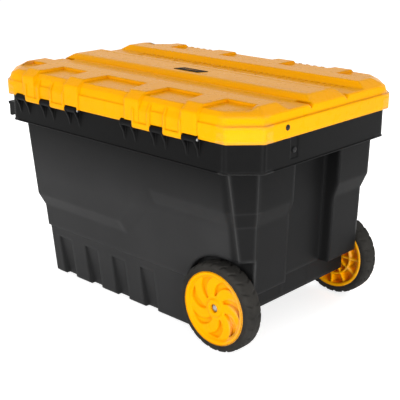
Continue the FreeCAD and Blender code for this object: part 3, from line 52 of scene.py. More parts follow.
# Viewpoint of the photograph
VIEW_AZIMUTH = math.radians(43.25)
VIEW_ELEVATION = math.radians(18.56)
VIEW_PLACE = Vector((1.3378, -1.3957, 0.8463))
VIEW_LENS = 82.83
FILM_WIDTH = 36.0

# Colours as linear red, green and blue
LID_YELLOW = (1.0, 0.43, 0.0, 1.0)
LID_YELLOW_DEEP = (0.92, 0.35, 0.0, 1.0)
TUB_CHARCOAL = (0.005, 0.005, 0.0051, 1.0)
TUB_CHARCOAL_PALE = (0.035, 0.035, 0.0355, 1.0)
FITTING_BLACK = (0.009, 0.009, 0.0092, 1.0)
FITTING_BLACK_PALE = (0.022, 0.022, 0.0225, 1.0)
TYRE_BLACK = (0.024, 0.023, 0.021, 1.0)
TYRE_DUST = (0.055, 0.051, 0.046, 1.0)
ZINC = (0.48, 0.48, 0.47, 1.0)
ZINC_DULL = (0.24, 0.24, 0.235, 1.0)
OXIDE_BLACK = (0.02, 0.02, 0.021, 1.0)
OXIDE_RUBBED = (0.26, 0.25, 0.24, 1.0)
BADGE_BLACK = (0.012, 0.012, 0.012, 1.0)
FLOOR_WHITE = (0.82, 0.82, 0.82, 1.0)
FLOOR_WHITE_DULL = (0.80, 0.80, 0.80, 1.0)
SURROUND_WHITE = (1.0, 1.0, 1.0, 1.0)

# Gloss of each plastic as an index of refraction
YELLOW_GLOSS = 1.13
CHARCOAL_GLOSS = 1.13
BADGE_GLOSS = 1.08
EDGE_GLOSS = 1.5

# Radii over which the finishes round off edges
LID_EDGE_ROUND = 6.5 * MM
LID_CORNER_ROUND = 14 * MM
RIM_EDGE_ROUND = 3.5 * MM
TUB_EDGE_ROUND = 12 * MM
FITTING_EDGE_ROUND = 1.5 * MM
TYRE_EDGE_ROUND = 1.8 * MM
PLATE_EDGE_ROUND = 0.6 * MM
SCREW_EDGE_ROUND = 0.4 * MM

# Widths of the strips along edges that are rubbed paler
MOULDING_RUB_WIDTH = 2 * MM
FITTING_RUB_WIDTH = 1.5 * MM
SCREW_RUB_WIDTH = 0.5 * MM

# Where the box's ends and corners begin, from its middle, and the height of the rim's foot
LID_CORNER_FROM = (290 * MM, 170 * MM)
TUB_CORNER_FROM = (290 * MM, 160 * MM)
TUB_END_FROM = 280 * MM
RIM_FOOT_HEIGHT = 369 * MM

# How steeply masks rise at an end, per metre, and at an edge, and the samples of a rounded edge
END_STEEPNESS = 100.0
EDGE_STEEPNESS = 5.0
ROUNDING_SAMPLES = 8


class Wire:
    """A shader socket that can be used in Python arithmetic: each operation adds one Math node."""

    def __init__(self, finish, socket):
        self.finish = finish
        self.socket = socket

    def math(self, operation, *values):
        return self.finish.node("ShaderNodeMath", {"operation": operation}, dict(enumerate(values)), 0)

    def __add__(self, other):
        return self.math("ADD", self, other)

    def __radd__(self, other):
        return self.math("ADD", other, self)

    def __sub__(self, other):
        return self.math("SUBTRACT", self, other)

    def __rsub__(self, other):
        return self.math("SUBTRACT", other, self)

    def __mul__(self, other):
        return self.math("MULTIPLY", self, other)

    def __rmul__(self, other):
        return self.math("MULTIPLY", other, self)

    def size(self):
        return self.math("ABSOLUTE", self)

    def clamped(self):
        return self.finish.node("ShaderNodeClamp", {}, {0: self}, 0)


class Finish:
    """A node material, or a world, that is written as expressions on sockets."""

    def __init__(self, name, kind=bpy.data.materials):
        self.owner = kind.new(name)
        self.owner.use_nodes = True
        self.tree = self.owner.node_tree
        self.tree.nodes.clear()
        self.place = self.node("ShaderNodeTexCoord", {}, {}, "Object")

    def node(self, kind, settings, inputs, output):
        """Add a node, settings first, then its sockets' values or links, and return one of its outputs."""
        made = self.tree.nodes.new(kind)
        for name, value in settings.items():
            setattr(made, name, value)
        for name, value in inputs.items():
            if isinstance(value, Wire):
                self.tree.links.new(value.socket, made.inputs[name])
            else:
                made.inputs[name].default_value = value
        return None if output is None else Wire(self, made.outputs[output])

    def noise(self, cells, detail=2.0, roughness=0.5):
        """Smooth noise from 0 to 1 with this many cells per metre."""
        return self.node("ShaderNodeTexNoise", {}, {
            "Vector": self.place, "Scale": cells, "Detail": detail, "Roughness": roughness}, 0)

    def streaks(self, cells):
        """Noise drawn out along one axis: cells per metre along X, Y and Z."""
        drawn = self.node("ShaderNodeMapping", {}, {"Vector": self.place, "Scale": cells}, 0)
        return self.node("ShaderNodeTexNoise", {}, {"Vector": drawn, "Scale": 1.0, "Detail": 2.0}, 0)

    def pebbles(self, cells):
        """Rounded cells like a fine moulded grain, from 0 at a cell's middle."""
        return self.node("ShaderNodeTexVoronoi", {"feature": "SMOOTH_F1"}, {
            "Vector": self.place, "Scale": cells, "Smoothness": 0.6}, 0)

    def blend(self, share, first, second):
        """Colour between two others."""
        return self.node("ShaderNodeMix", {"data_type": "RGBA"}, {0: share, 6: first, 7: second}, 2)

    def between(self, share, first, second):
        """Normal between two others."""
        return self.node("ShaderNodeMix", {"data_type": "VECTOR"}, {0: share, 4: first, 5: second}, 1)

    def along(self, axis):
        """Place along X, Y or Z, given as 0, 1 or 2."""
        return self.node("ShaderNodeSeparateXYZ", {}, {0: self.place}, axis)

    def past_end(self, distance, axis=0):
        """1 beyond this distance from the box's middle on both sides along an axis, and 0 within it."""
        return ((self.along(axis).size() - distance) * END_STEEPNESS).clamped()

    def at_corners(self, distances):
        """1 at the upright corners, beyond these distances along X and Y, and 0 between them."""
        return self.past_end(distances[0]) * self.past_end(distances[1], 1)

    def rounding(self, radius):
        """Normal that rounds off edges over this radius."""
        return self.node("ShaderNodeBevel", {"samples": ROUNDING_SAMPLES}, {"Radius": radius}, 0)

    def bump(self, height, depth, normal):
        """Normal raised by a height, where depth is the size of a height of one."""
        return self.node("ShaderNodeBump", {}, {"Height": height, "Distance": depth, "Normal": normal}, 0)

    def between_faces(self, rounded):
        """About 0 on flat faces, towards 1 where a rounded-off normal leaves the face's own."""
        flat = self.node("ShaderNodeNewGeometry", {}, {}, "Normal")
        same = self.node("ShaderNodeVectorMath", {"operation": "DOT_PRODUCT"}, {0: rounded, 1: flat}, "Value")
        return ((1 - same) * EDGE_STEEPNESS).clamped()

    def rubbed(self, width, cells):
        """Patchy strips along edges: 0 on flat faces, towards 1 on an edge."""
        return self.between_faces(self.rounding(width)) * self.noise(cells, 3.0)

    def seen_share(self):
        """1 for rays that the eye, gloss or clear material sends out, 0 for the rest."""
        eye, gloss, clear = (
            self.node("ShaderNodeLightPath", {}, {}, ray)
            for ray in ("Is Camera Ray", "Is Glossy Ray", "Is Transmission Ray"))
        return (eye + gloss + clear).clamped()

    def principled(self, colour, roughness, normal, constants):
        """One Principled shader."""
        inputs = {"Base Color": colour, "Roughness": roughness, "Normal": normal, **constants}
        return self.node("ShaderNodeBsdfPrincipled", {}, inputs, 0)

    def surface(self, colour, roughness, normal, constants):
        """Finish the material with one Principled shader."""
        return self.shade(self.principled(colour, roughness, normal, constants))

    def plastic(self, colour, roughness, normal, gloss, edges):
        """Finish the material with a plastic that is glossier along some edges than on its faces."""
        face, edge = (
            self.principled(colour, roughness, normal, {"IOR": index}) for index in (gloss, EDGE_GLOSS))
        return self.shade(self.node("ShaderNodeMixShader", {}, {0: edges, 1: face, 2: edge}, 0))

    def shade(self, shader, kind="ShaderNodeOutputMaterial"):
        """Link a shader to the output and return the finished material or world."""
        self.node(kind, {}, {"Surface": shader}, None)
        return self.owner


def moulded_yellow():
    """Satin yellow plastic: faint flow clouds, a fine spark grain and glossier upright corners."""
    finish = Finish("moulded_yellow")
    clouds = finish.noise(cells=9.0, detail=3.0)
    colour = finish.blend((clouds * 0.7 - 0.2).clamped(), LID_YELLOW, LID_YELLOW_DEEP)
    corners = finish.at_corners(LID_CORNER_FROM)
    soft = finish.between(corners, finish.rounding(LID_EDGE_ROUND), finish.rounding(LID_CORNER_ROUND))
    edges = (finish.between_faces(soft) * corners * 3.0).clamped()
    rough = 0.24 + finish.noise(cells=60.0) * 0.08 - edges * 0.08
    normal = finish.bump(finish.noise(cells=1700.0, detail=1.0), 0.01 * MM, soft)
    return finish.plastic(colour, rough, normal, YELLOW_GLOSS, edges)


def grained_charcoal():
    """Charcoal plastic with a fine pebbled grain, patchy dust and scuffed edges; painted shade keeps it
    darker under the rim and on the ends, paler towards its foot.
    """
    finish = Finish("grained_charcoal")
    under_rim = RIM_FOOT_HEIGHT - finish.along(2)
    # Painted shade: the ends are kept darker, as less light falls on the end faces.
    painted_shade_at_ends = 1 - finish.past_end(TUB_END_FROM) * 0.75
    # Paler share of the walls: painted shade, darkest just under the rim's overhang and gone 125 mm below it,
    # times patchy dust and the darker ends.
    paleness = (under_rim * 8.0).clamped() * (0.55 + finish.noise(cells=7.0, detail=4.0) * 0.5) * painted_shade_at_ends
    rub = finish.rubbed(MOULDING_RUB_WIDTH, cells=180.0)
    colour = finish.blend((paleness + rub * 0.6).clamped(), TUB_CHARCOAL, TUB_CHARCOAL_PALE)
    rough = 0.34 + finish.noise(cells=90.0) * 0.12
    corners = finish.at_corners(TUB_CORNER_FROM)
    wide = ((under_rim * 250.0).clamped() + corners).clamped()
    soft = finish.between(wide, finish.rounding(RIM_EDGE_ROUND), finish.rounding(TUB_EDGE_ROUND))
    normal = finish.bump(finish.pebbles(cells=800.0), 0.1 * MM, soft)
    edges = (finish.between_faces(soft) * corners * 2.0).clamped()
    return finish.plastic(colour, rough, normal, CHARCOAL_GLOSS, edges)


def smooth_black():
    """Black fittings: smoother than the tub, with faint drag lines."""
    finish = Finish("smooth_black")
    pale = finish.noise(cells=30.0, detail=3.0) * 0.4 + finish.rubbed(FITTING_RUB_WIDTH, cells=220.0)
    colour = finish.blend(pale.clamped(), FITTING_BLACK, FITTING_BLACK_PALE)
    rough = 0.32 + finish.noise(cells=140.0) * 0.12
    drag = finish.streaks(cells=(30.0, 900.0, 900.0))
    normal = finish.bump(drag, 0.06 * MM, finish.rounding(FITTING_EDGE_ROUND))
    return finish.surface(colour, rough, normal, {"IOR": CHARCOAL_GLOSS})


def tyre_rubber():
    """Dull rubber, dusty in patches and rubbed paler on its edges."""
    finish = Finish("tyre_rubber")
    paleness = finish.noise(cells=26.0, detail=5.0, roughness=0.6)
    rub = finish.rubbed(MOULDING_RUB_WIDTH, cells=120.0)
    colour = finish.blend(((paleness - 0.35) * 1.2 + rub * 0.7).clamped(), TYRE_BLACK, TYRE_DUST)
    rough = 0.6 + finish.noise(cells=70.0, detail=3.0) * 0.2
    grain = finish.noise(cells=700.0, detail=3.0)
    normal = finish.bump(grain, 0.2 * MM, finish.rounding(TYRE_EDGE_ROUND))
    return finish.surface(colour, rough, normal, {"IOR": CHARCOAL_GLOSS})


def zinc_steel():
    """Zinc-plated steel with a cloudy plating and a fine grain."""
    finish = Finish("zinc_steel")
    colour = finish.blend((finish.noise(cells=160.0, detail=4.0) * 0.8).clamped(), ZINC, ZINC_DULL)
    rough = 0.24 + finish.noise(cells=400.0, detail=3.0) * 0.2
    normal = finish.bump(finish.noise(cells=2600.0), 0.04 * MM, finish.rounding(PLATE_EDGE_ROUND))
    return finish.surface(colour, rough, normal, {"Metallic": 1.0})


def black_oxide():
    """Blackened screws: dark metal, brighter where the driver rubs its edges."""
    finish = Finish("black_oxide")
    rub = finish.rubbed(SCREW_RUB_WIDTH, cells=700.0)
    colour = finish.blend((rub * 1.2).clamped(), OXIDE_BLACK, OXIDE_RUBBED)
    rough = 0.32 + finish.noise(cells=600.0) * 0.15
    grain = finish.noise(cells=3000.0, detail=1.0)
    normal = finish.bump(grain, 0.03 * MM, finish.rounding(SCREW_EDGE_ROUND))
    return finish.surface(colour, rough, normal, {"Metallic": 0.8})


def bare_badge():
    """Bare black plate with a fine brushed grain along the lid."""
    finish = Finish("bare_badge")
    brushed = finish.streaks(cells=(40.0, 2500.0, 40.0))
    colour = finish.blend((brushed * 0.5).clamped(), BADGE_BLACK, FITTING_BLACK_PALE)
    normal = finish.bump(brushed, 0.03 * MM, finish.rounding(PLATE_EDGE_ROUND))
    return finish.surface(colour, 0.5 + brushed * 0.15, normal, {"IOR": BADGE_GLOSS})


FINISHES = {
    "lid_yellow": moulded_yellow(),
    "tub_black": grained_charcoal(),
    "fitting_black": smooth_black(),
    "tyre_black": tyre_rubber(),
    "pin_steel": zinc_steel(),
    "fastener_black": black_oxide(),
    "badge_black": bare_badge(),
}

NODE_FINISHES = {
    "lid_yellow": ("lid", "wheel_hub_hinge_side", "wheel_hub_latch_side"),
    "tub_black": ("tub",),
    "fitting_black": ("latch_left", "latch_right", "tow_handle", "axle_spacer_hinge_side",
                      "axle_spacer_latch_side"),
    "tyre_black": ("tyre_hinge_side", "tyre_latch_side"),
    "pin_steel": ("hinge_pin_left", "hinge_pin_right", "latch_pin_left", "latch_pin_right", "axle",
                  "axle_cap_hinge_side", "axle_cap_latch_side", "rim_stay_nuts", "tow_handle_nuts"),
    "fastener_black": ("lid_stay_screws", "rim_stay_screws", "tow_handle_screws"),
    "badge_black": ("lid_badge",),
}


def dress_nodes():
    """Give every CAD node its finish."""
    for finish, names in NODE_FINISHES.items():
        for name in names:
            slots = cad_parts[name].data.materials
            slots.clear()
            slots.append(FINISHES[finish])


# How new meshes are closed up and shaded
MERGE_DISTANCE = 0.002 * MM
SHARP_ANGLE = math.radians(38)


def node_box(name):
    """Lowest and highest corner of a CAD node as arrays."""
    low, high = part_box(name)
    return np.array(low), np.array(high)


def points_at(x, y, z):
    """Points from coordinates whose shapes fit together."""
    return np.stack(np.broadcast_arrays(x, y, z), axis=-1)


def once_round(count):
    """Angles once round, up to but without the first one again."""
    return np.linspace(0.0, 2 * np.pi, count, endpoint=False)


def quarter_turn(count):
    """Angles through a quarter of a turn, with both ends."""
    return np.linspace(0.0, np.pi / 2, count)


def ramp(value, length):
    """0 up to a value of 0, then rising evenly to 1 over a length."""
    return np.clip(value / length, 0.0, 1.0)


def grid_faces(rows, columns, rows_closed=False, copies=1):
    """Quads of one or more equal grids, whose columns join up and whose rows may join up too."""
    index = np.arange(rows * columns).reshape(rows, columns)
    right = np.roll(index, -1, axis=1)
    last = rows if rows_closed else rows - 1
    quads = np.stack([index, right, np.roll(right, -1, axis=0), np.roll(index, -1, axis=0)], axis=-1)
    quads = quads[:last].reshape(1, -1, 4)
    return (quads + np.arange(copies).reshape(-1, 1, 1) * rows * columns).reshape(-1, 4)


def add_piece(name, points, faces, finish, body):
    """Mesh that rides on a body: doubled points merged, faces turned outwards, sharp only at real edges."""
    mesh = bpy.data.meshes.new(name)
    mesh.from_pydata(points.reshape(-1, 3).tolist(), [], faces.tolist())
    shell = bmesh.new()
    shell.from_mesh(mesh)
    bmesh.ops.remove_doubles(shell, verts=shell.verts, dist=MERGE_DISTANCE)
    bmesh.ops.recalc_face_normals(shell, faces=shell.faces)
    shell.to_mesh(mesh)
    shell.free()
    mesh.shade_smooth()
    mesh.set_sharp_from_angle(angle=SHARP_ANGLE)
    mesh.materials.append(FINISHES[finish])
    piece = bpy.data.objects.new(name, mesh)
    bpy.context.scene.collection.objects.link(piece)
    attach(piece, body)
    return piece


def turned(along, radius, columns):
    """Profile turned about the X axis: (along, radius cos t, radius sin t) for t once round."""
    turn = once_round(columns)
    return points_at(along[:, None], radius[:, None] * np.cos(turn), radius[:, None] * np.sin(turn))


# Screws
HEAD_RADIUS = 5.5 * MM
HEAD_HEIGHT = 3.0 * MM
HEAD_RIM_SHARE = 0.3
HEAD_ROWS = 24
HEAD_COLUMNS = 72
SHANK_RADIUS = 2.5 * MM
CROSS_HALF_WIDTH = 0.75 * MM
CROSS_HALF_LENGTH = 2.9 * MM
CROSS_DEPTH = 1.7 * MM
CROSS_WALL = 0.35 * MM
LID_SCREW_LENGTH = 9 * MM
RIM_SCREW_LENGTH = 6.5 * MM
HANDLE_SCREW_LENGTH = 12 * MM
HANDLE_SCREW_OFFSET = 60 * MM


def within(distance, half):
    """1 inside a strip of this half width and 0 outside it, with a short ramp between."""
    return ramp(half - np.abs(distance) + CROSS_WALL / 2, CROSS_WALL)


def screw_shape(length):
    """Pan-head screw along X with its seat at 0.

    The profile is a quarter ellipse from the head's middle to its rim, then the rim, the flat under the
    head, the shank and its end.  Two crossed strips are pressed into the head.
    """
    turn = quarter_turn(HEAD_ROWS)
    dome_along = HEAD_HEIGHT * (HEAD_RIM_SHARE + (1 - HEAD_RIM_SHARE) * np.cos(turn))
    dome_radius = HEAD_RADIUS * np.sin(turn)
    along = np.concatenate([dome_along, [0.0, 0.0, -length, -length]])
    radius = np.concatenate([dome_radius, [HEAD_RADIUS, SHANK_RADIUS, SHANK_RADIUS, 0.0]])
    points = turned(along, radius, HEAD_COLUMNS)
    across, up = points[:HEAD_ROWS, :, 1], points[:HEAD_ROWS, :, 2]
    cross = np.maximum(within(across, CROSS_HALF_WIDTH) * within(up, CROSS_HALF_LENGTH),
                       within(up, CROSS_HALF_WIDTH) * within(across, CROSS_HALF_LENGTH))
    points[:HEAD_ROWS, :, 0] -= CROSS_DEPTH * cross
    return points


def screw_set(name, node, body, length, places):
    """Screws at places given as (sign along X, seat in X, Y, Z), in the stead of a CAD node."""
    shape = screw_shape(length)
    rows, columns, _ = shape.shape
    signs = np.array([(sign, 1.0, 1.0) for sign, _, _, _ in places])
    seats = np.array([place[1:] for place in places])
    points = shape[None] * signs[:, None, None] + seats[:, None, None]
    faces = grid_faces(rows, columns, copies=len(places))
    piece = add_piece(name, points, faces, "fastener_black", body)
    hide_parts(node)


def screws():
    """Screws at the lid's ends, the rim's ends and the tow handle."""
    for node, body, length in (("lid_stay_screws", "lid", LID_SCREW_LENGTH),
                               ("rim_stay_screws", "box", RIM_SCREW_LENGTH)):
        low, high = node_box(node)
        _, y, z = (low + high) / 2
        places = [(1, high[0] - HEAD_HEIGHT, y, z), (-1, low[0] + HEAD_HEIGHT, y, z)]
        screw_set(f"{node}_heads", node, body, length, places)
    low, high = node_box("tow_handle_screws")
    seat, z = low[0] + HEAD_HEIGHT, (low[2] + high[2]) / 2
    far = high[1] - HEAD_RADIUS
    places = [(-1, seat, y, z) for y in (-far, -HANDLE_SCREW_OFFSET, HANDLE_SCREW_OFFSET, far)]
    screw_set("tow_handle_screw_heads", "tow_handle_screws", "box", HANDLE_SCREW_LENGTH, places)


# Domed pin ends as radius and height
HINGE_HEAD_DOME = (3.7 * MM, 1.3 * MM)
HINGE_TIP_DOME = (2.8 * MM, 0.8 * MM)
AXLE_DOME = (5.6 * MM, 1.0 * MM)
DOME_ROWS = 8
DOME_COLUMNS = 32


def domes(name, body, finish, places):
    """Shallow domes on round ends, at places given as (centre, axis, sign, (radius, height)).

    Each is a quarter ellipse from its middle to its rim, closed by a flat back, turned about its axis.
    """
    turn = quarter_turn(DOME_ROWS)
    unit = turned(np.append(np.cos(turn), 0.0), np.append(np.sin(turn), 0.0), DOME_COLUMNS)
    shapes = []
    for centre, axis, sign, (radius, height) in places:
        shape = unit * (height * sign, radius, radius)
        shapes.append(np.roll(shape, axis, axis=-1) + np.array(centre))
    faces = grid_faces(DOME_ROWS + 1, DOME_COLUMNS, copies=len(places))
    add_piece(name, np.stack(shapes), faces, finish, body)


def pin_ends():
    """Domed ends of the hinge pins and the axle."""
    places = []
    for tag in ("left", "right"):
        low, high = node_box(f"hinge_pin_{tag}")
        _, y, z = (low + high) / 2
        places.append(((high[0], y, z), 0, 1, HINGE_HEAD_DOME))
        places.append(((low[0], y, z), 0, -1, HINGE_TIP_DOME))
    low, high = node_box("axle")
    x, _, z = (low + high) / 2
    places.append(((x, high[1], z), 1, 1, AXLE_DOME))
    places.append(((x, low[1], z), 1, -1, AXLE_DOME))
    domes("pin_end_domes", "box", "pin_steel", places)


# Grid of each half-round bar
BAR_ROWS = 11
BAR_COLUMNS = 12


def half_round_bars(name, starts, ends, lift, size, finish, body):
    """Bars whose upper half stands out of a face, with a size given as half width and height.

    An ellipse is carried along each straight line from start to end.  Its size is the root of one less the
    sixth power of the way from the middle, so that it closes to a point at both ends.
    """
    width, height = size
    run, lift = ends - starts, np.array(lift, dtype=float)
    side = np.cross(run, lift) / np.linalg.norm(run, axis=-1, keepdims=True)
    share = (0.5 - 0.5 * np.cos(np.linspace(0.0, np.pi, BAR_ROWS))).reshape(1, BAR_ROWS, 1, 1)
    swell = np.sqrt(np.clip(1 - np.abs(2 * share - 1) ** 6, 0.0, 1.0))
    turn = once_round(BAR_COLUMNS).reshape(1, 1, BAR_COLUMNS, 1)
    spine = starts[:, None, None] + run[:, None, None] * share
    points = spine + swell * (height * np.cos(turn) * lift + width * np.sin(turn) * side[:, None, None])
    faces = grid_faces(BAR_ROWS, BAR_COLUMNS, copies=len(starts))
    add_piece(name, points, faces, finish, body)


# Scale ribs in the lid's far groove
GROOVE_FLOOR_BELOW_TOP = 12 * MM
SCALE_START = -262 * MM
SCALE_PITCH = 15 * MM
SCALE_COUNT = 39
LONG_EVERY = 4
SCALE_FAR_Y = 117 * MM
SHORT_RIB = 14 * MM
LONG_RIB = 26 * MM
SCALE_RIB_SIZE = (2.0 * MM, 1.4 * MM)


def scale_ribs():
    """Row of short raised ribs, every fourth one longer, along the far groove of the lid."""
    floor_z = node_box("lid")[1][2] - GROOVE_FLOOR_BELOW_TOP
    count = np.arange(SCALE_COUNT)
    x = SCALE_START + SCALE_PITCH * count
    length = np.where(count % LONG_EVERY == 0, LONG_RIB, SHORT_RIB)
    starts = points_at(x, SCALE_FAR_Y, floor_z)
    ends = points_at(x, SCALE_FAR_Y - length, floor_z)
    half_round_bars("lid_scale_ribs", starts, ends, (0, 0, 1), SCALE_RIB_SIZE,
                    "lid_yellow", "lid")


# Ribs of the latches, from the latch's lower edge, its sides and its pin
LATCH_HALF_THICKNESS = 2.5 * MM
FINGER_RIDGE_HEIGHTS = np.array([10.0, 17.0, 24.0, 31.0]) * MM
FINGER_RIDGE_INSET = 6 * MM
FINGER_RIDGE_SIZE = (1.7 * MM, 1.5 * MM)
STIFFENER_OFFSETS = np.array([-24.0, -8.0, 8.0, 24.0]) * MM
STIFFENER_TOP_DROP = 3 * MM
STIFFENER_FOOT_DROP = 40 * MM
STIFFENER_SIZE = (1.4 * MM, 2.2 * MM)


def latch_ribs():
    """Finger ridges on the outer face of each closed latch and stiffening ribs on its inner face."""
    for tag in ("left", "right"):
        body = f"latch_{tag}"
        low, high = node_box(body)
        x, y, z = sum(node_box(f"latch_pin_{tag}")) / 2
        face, heights = y - LATCH_HALF_THICKNESS, low[2] + FINGER_RIDGE_HEIGHTS
        starts = points_at(low[0] + FINGER_RIDGE_INSET, face, heights)
        ends = points_at(high[0] - FINGER_RIDGE_INSET, face, heights)
        half_round_bars(f"{body}_finger_ridges", starts, ends, (0, -1, 0), FINGER_RIDGE_SIZE,
                        "fitting_black", body)
        across, back = x + STIFFENER_OFFSETS, y + LATCH_HALF_THICKNESS
        starts = points_at(across, back, z - STIFFENER_TOP_DROP)
        ends = points_at(across, back, z - STIFFENER_FOOT_DROP)
        half_round_bars(f"{body}_stiffening_ribs", starts, ends, (0, 1, 0), STIFFENER_SIZE,
                        "fitting_black", body)


# Ridges on the tow handle's lip, from its outermost face and its foot
GRIP_FACE_DEPTH = 4 * MM
GRIP_RIDGE_PITCH = 12 * MM
GRIP_RIDGES_EACH_WAY = 13
GRIP_RIDGE_FOOT = 3 * MM
GRIP_RIDGE_TOP = 21 * MM
GRIP_RIDGE_SIZE = (2.2 * MM, 1.6 * MM)


def grip_ridges():
    """Upright ridges along the outside of the tow handle's lip, for the fingers."""
    low, _ = node_box("tow_handle")
    face = low[0] + GRIP_FACE_DEPTH
    y = np.arange(-GRIP_RIDGES_EACH_WAY, GRIP_RIDGES_EACH_WAY + 1) * GRIP_RIDGE_PITCH
    starts = points_at(face, y, low[2] + GRIP_RIDGE_FOOT)
    ends = points_at(face, y, low[2] + GRIP_RIDGE_TOP)
    half_round_bars("tow_handle_grip_ridges", starts, ends, (-1, 0, 0), GRIP_RIDGE_SIZE,
                    "fitting_black", "box")


# Tyres
TREAD_LUGS = 24
TREAD_ROWS = TREAD_LUGS * 20
TREAD_SLANT = math.tan(math.radians(28))
TREAD_CROWN = 0.8 * MM
GROOVE_HALF_WIDTH = 2.6 * MM
GROOVE_WALL = 1.4 * MM
GROOVE_DEPTH = 2.2 * MM
GROOVE_REACH_DOWN = 5.5 * MM
GROOVE_REACH_RAMP = 3 * MM
PLAIN_MIDDLE = 4.5 * MM
PLAIN_MIDDLE_RAMP = 2 * MM
SHOULDER_ROUND = 7.5 * MM
SEAT_GAP = 0.1 * MM

# Points along each stretch of the tyre's section
SIDE_POINTS = 5
SHOULDER_POINTS = 9
TREAD_POINTS = 14
SEAT_POINTS = 3


def tyre_section(seat, tread, half):
    """Outline of a tyre's section as distance from its middle and radius.

    It runs up one side, over a quarter round, across the slightly crowned tread, over the other quarter
    round, down the other side and back along the seat.
    """
    turn = quarter_turn(SHOULDER_POINTS)
    up = np.linspace(seat, tread - SHOULDER_ROUND, SIDE_POINTS + 1)[:-1]
    round_place = half - SHOULDER_ROUND + SHOULDER_ROUND * np.cos(turn)
    round_radius = tread - SHOULDER_ROUND + SHOULDER_ROUND * np.sin(turn)
    across = np.linspace(half - SHOULDER_ROUND, SHOULDER_ROUND - half, TREAD_POINTS + 2)[1:-1]
    along_seat = np.linspace(-half, half, SEAT_POINTS + 2)[1:-1]
    place = np.concatenate([
        np.full(SIDE_POINTS, half), round_place, across, -round_place[::-1], np.full(SIDE_POINTS, -half),
        along_seat])
    radius = np.concatenate([
        up, round_radius, np.full(TREAD_POINTS, tread), round_radius[::-1], up[::-1],
        np.full(SEAT_POINTS, seat)])
    return place, radius - TREAD_CROWN * (place / half) ** 2 * (radius > seat)


def tyres():
    """Tyres with rounded shoulders and slanted tread grooves.

    The section is carried round the axle.  Its radius is lowered by the groove's depth wherever the angle,
    less a slant that grows with the distance from the tread's middle, is near a whole number of lugs.
    """
    pitch = 2 * np.pi / TREAD_LUGS
    angle = once_round(TREAD_ROWS).reshape(-1, 1)
    for tag in ("hinge_side", "latch_side"):
        low, high = node_box(f"tyre_{tag}")
        x, y, z = (low + high) / 2
        tread = (high[2] - low[2]) / 2
        seat = node_box(f"wheel_hub_{tag}")[1][2] - z + SEAT_GAP
        place, radius = tyre_section(seat, tread, (high[1] - low[1]) / 2)
        off_middle = np.abs(place)
        lag = angle - TREAD_SLANT * off_middle / tread
        from_groove = np.abs((lag / pitch + 0.5) % 1.0 - 0.5) * pitch * tread
        groove = ramp(GROOVE_HALF_WIDTH - from_groove + GROOVE_WALL / 2, GROOVE_WALL)
        groove = groove * ramp(off_middle - PLAIN_MIDDLE, PLAIN_MIDDLE_RAMP)
        groove = groove * ramp(radius - tread + GROOVE_REACH_DOWN, GROOVE_REACH_RAMP)
        reach = radius - GROOVE_DEPTH * groove
        points = points_at(x + reach * np.sin(angle), y + place, z - reach * np.cos(angle))
        faces = grid_faces(TREAD_ROWS, len(place), rows_closed=True)
        tyre = add_piece(f"tyre_{tag}_moulded", points, faces, "tyre_black", f"wheel_{tag}")
        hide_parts(f"tyre_{tag}")


# Beads on the wheels
RING_ROWS = 96
BEAD_COLUMNS = 12
SIDE_RING_RADIUS = 80 * MM
SIDE_RING_THICKNESS = 0.8 * MM
HUB_LIP_RADIUS = 73.2 * MM
HUB_LIP_THICKNESS = 0.9 * MM


def ring_beads(name, centre, sides, major, minor, finish, body):
    """Circle carried round the axle: a bead of one thickness and radius on each of the given faces."""
    turn = once_round(RING_ROWS).reshape(-1, 1)
    around = once_round(BEAD_COLUMNS)
    reach = major + minor * np.cos(around)
    x, z = centre[0] + reach * np.cos(turn), centre[2] + reach * np.sin(turn)
    shapes = np.stack([points_at(x, y + minor * np.sin(around), z) for y in sides])
    faces = grid_faces(RING_ROWS, BEAD_COLUMNS, rows_closed=True, copies=len(sides))
    add_piece(name, shapes, faces, finish, body)


def wheel_beads():
    """Raised rings on the tyres' sides and a rounded lip on the hubs' rims."""
    for tag, outer in (("hinge_side", 0), ("latch_side", 1)):
        low, high = node_box(f"tyre_{tag}")
        centre = (low + high) / 2
        body = f"wheel_{tag}"
        ring_beads(f"tyre_{tag}_side_rings", centre, (low[1], high[1]), SIDE_RING_RADIUS,
                   SIDE_RING_THICKNESS, "tyre_black", body)
        outer_face = node_box(f"wheel_hub_{tag}")[outer][1]
        ring_beads(f"wheel_hub_{tag}_lip", centre, (outer_face,), HUB_LIP_RADIUS,
                   HUB_LIP_THICKNESS, "lid_yellow", body)


# Shoulders of the lid's middle ridge, as distance from its middle line and height over the lid's top
SHOULDER_FOOT = np.array([54.5, -13.0]) * MM
SHOULDER_CORNER = np.array([42.0, 0.05]) * MM
SHOULDER_CROWN = np.array([25.0, 0.05]) * MM
SHOULDER_SKIRT = np.array([0.0, 3.0]) * MM
SHOULDER_CURVE_SHARE = 0.35
SHOULDER_CURVE_POINTS = 8
SHOULDER_ROWS = 41
DOME_WAIST_BELOW_TOP = 14 * MM
DOME_WAIST_END = 357 * MM
DOME_TOP_END = 333 * MM
DOME_END_MARGIN = 0.2 * MM


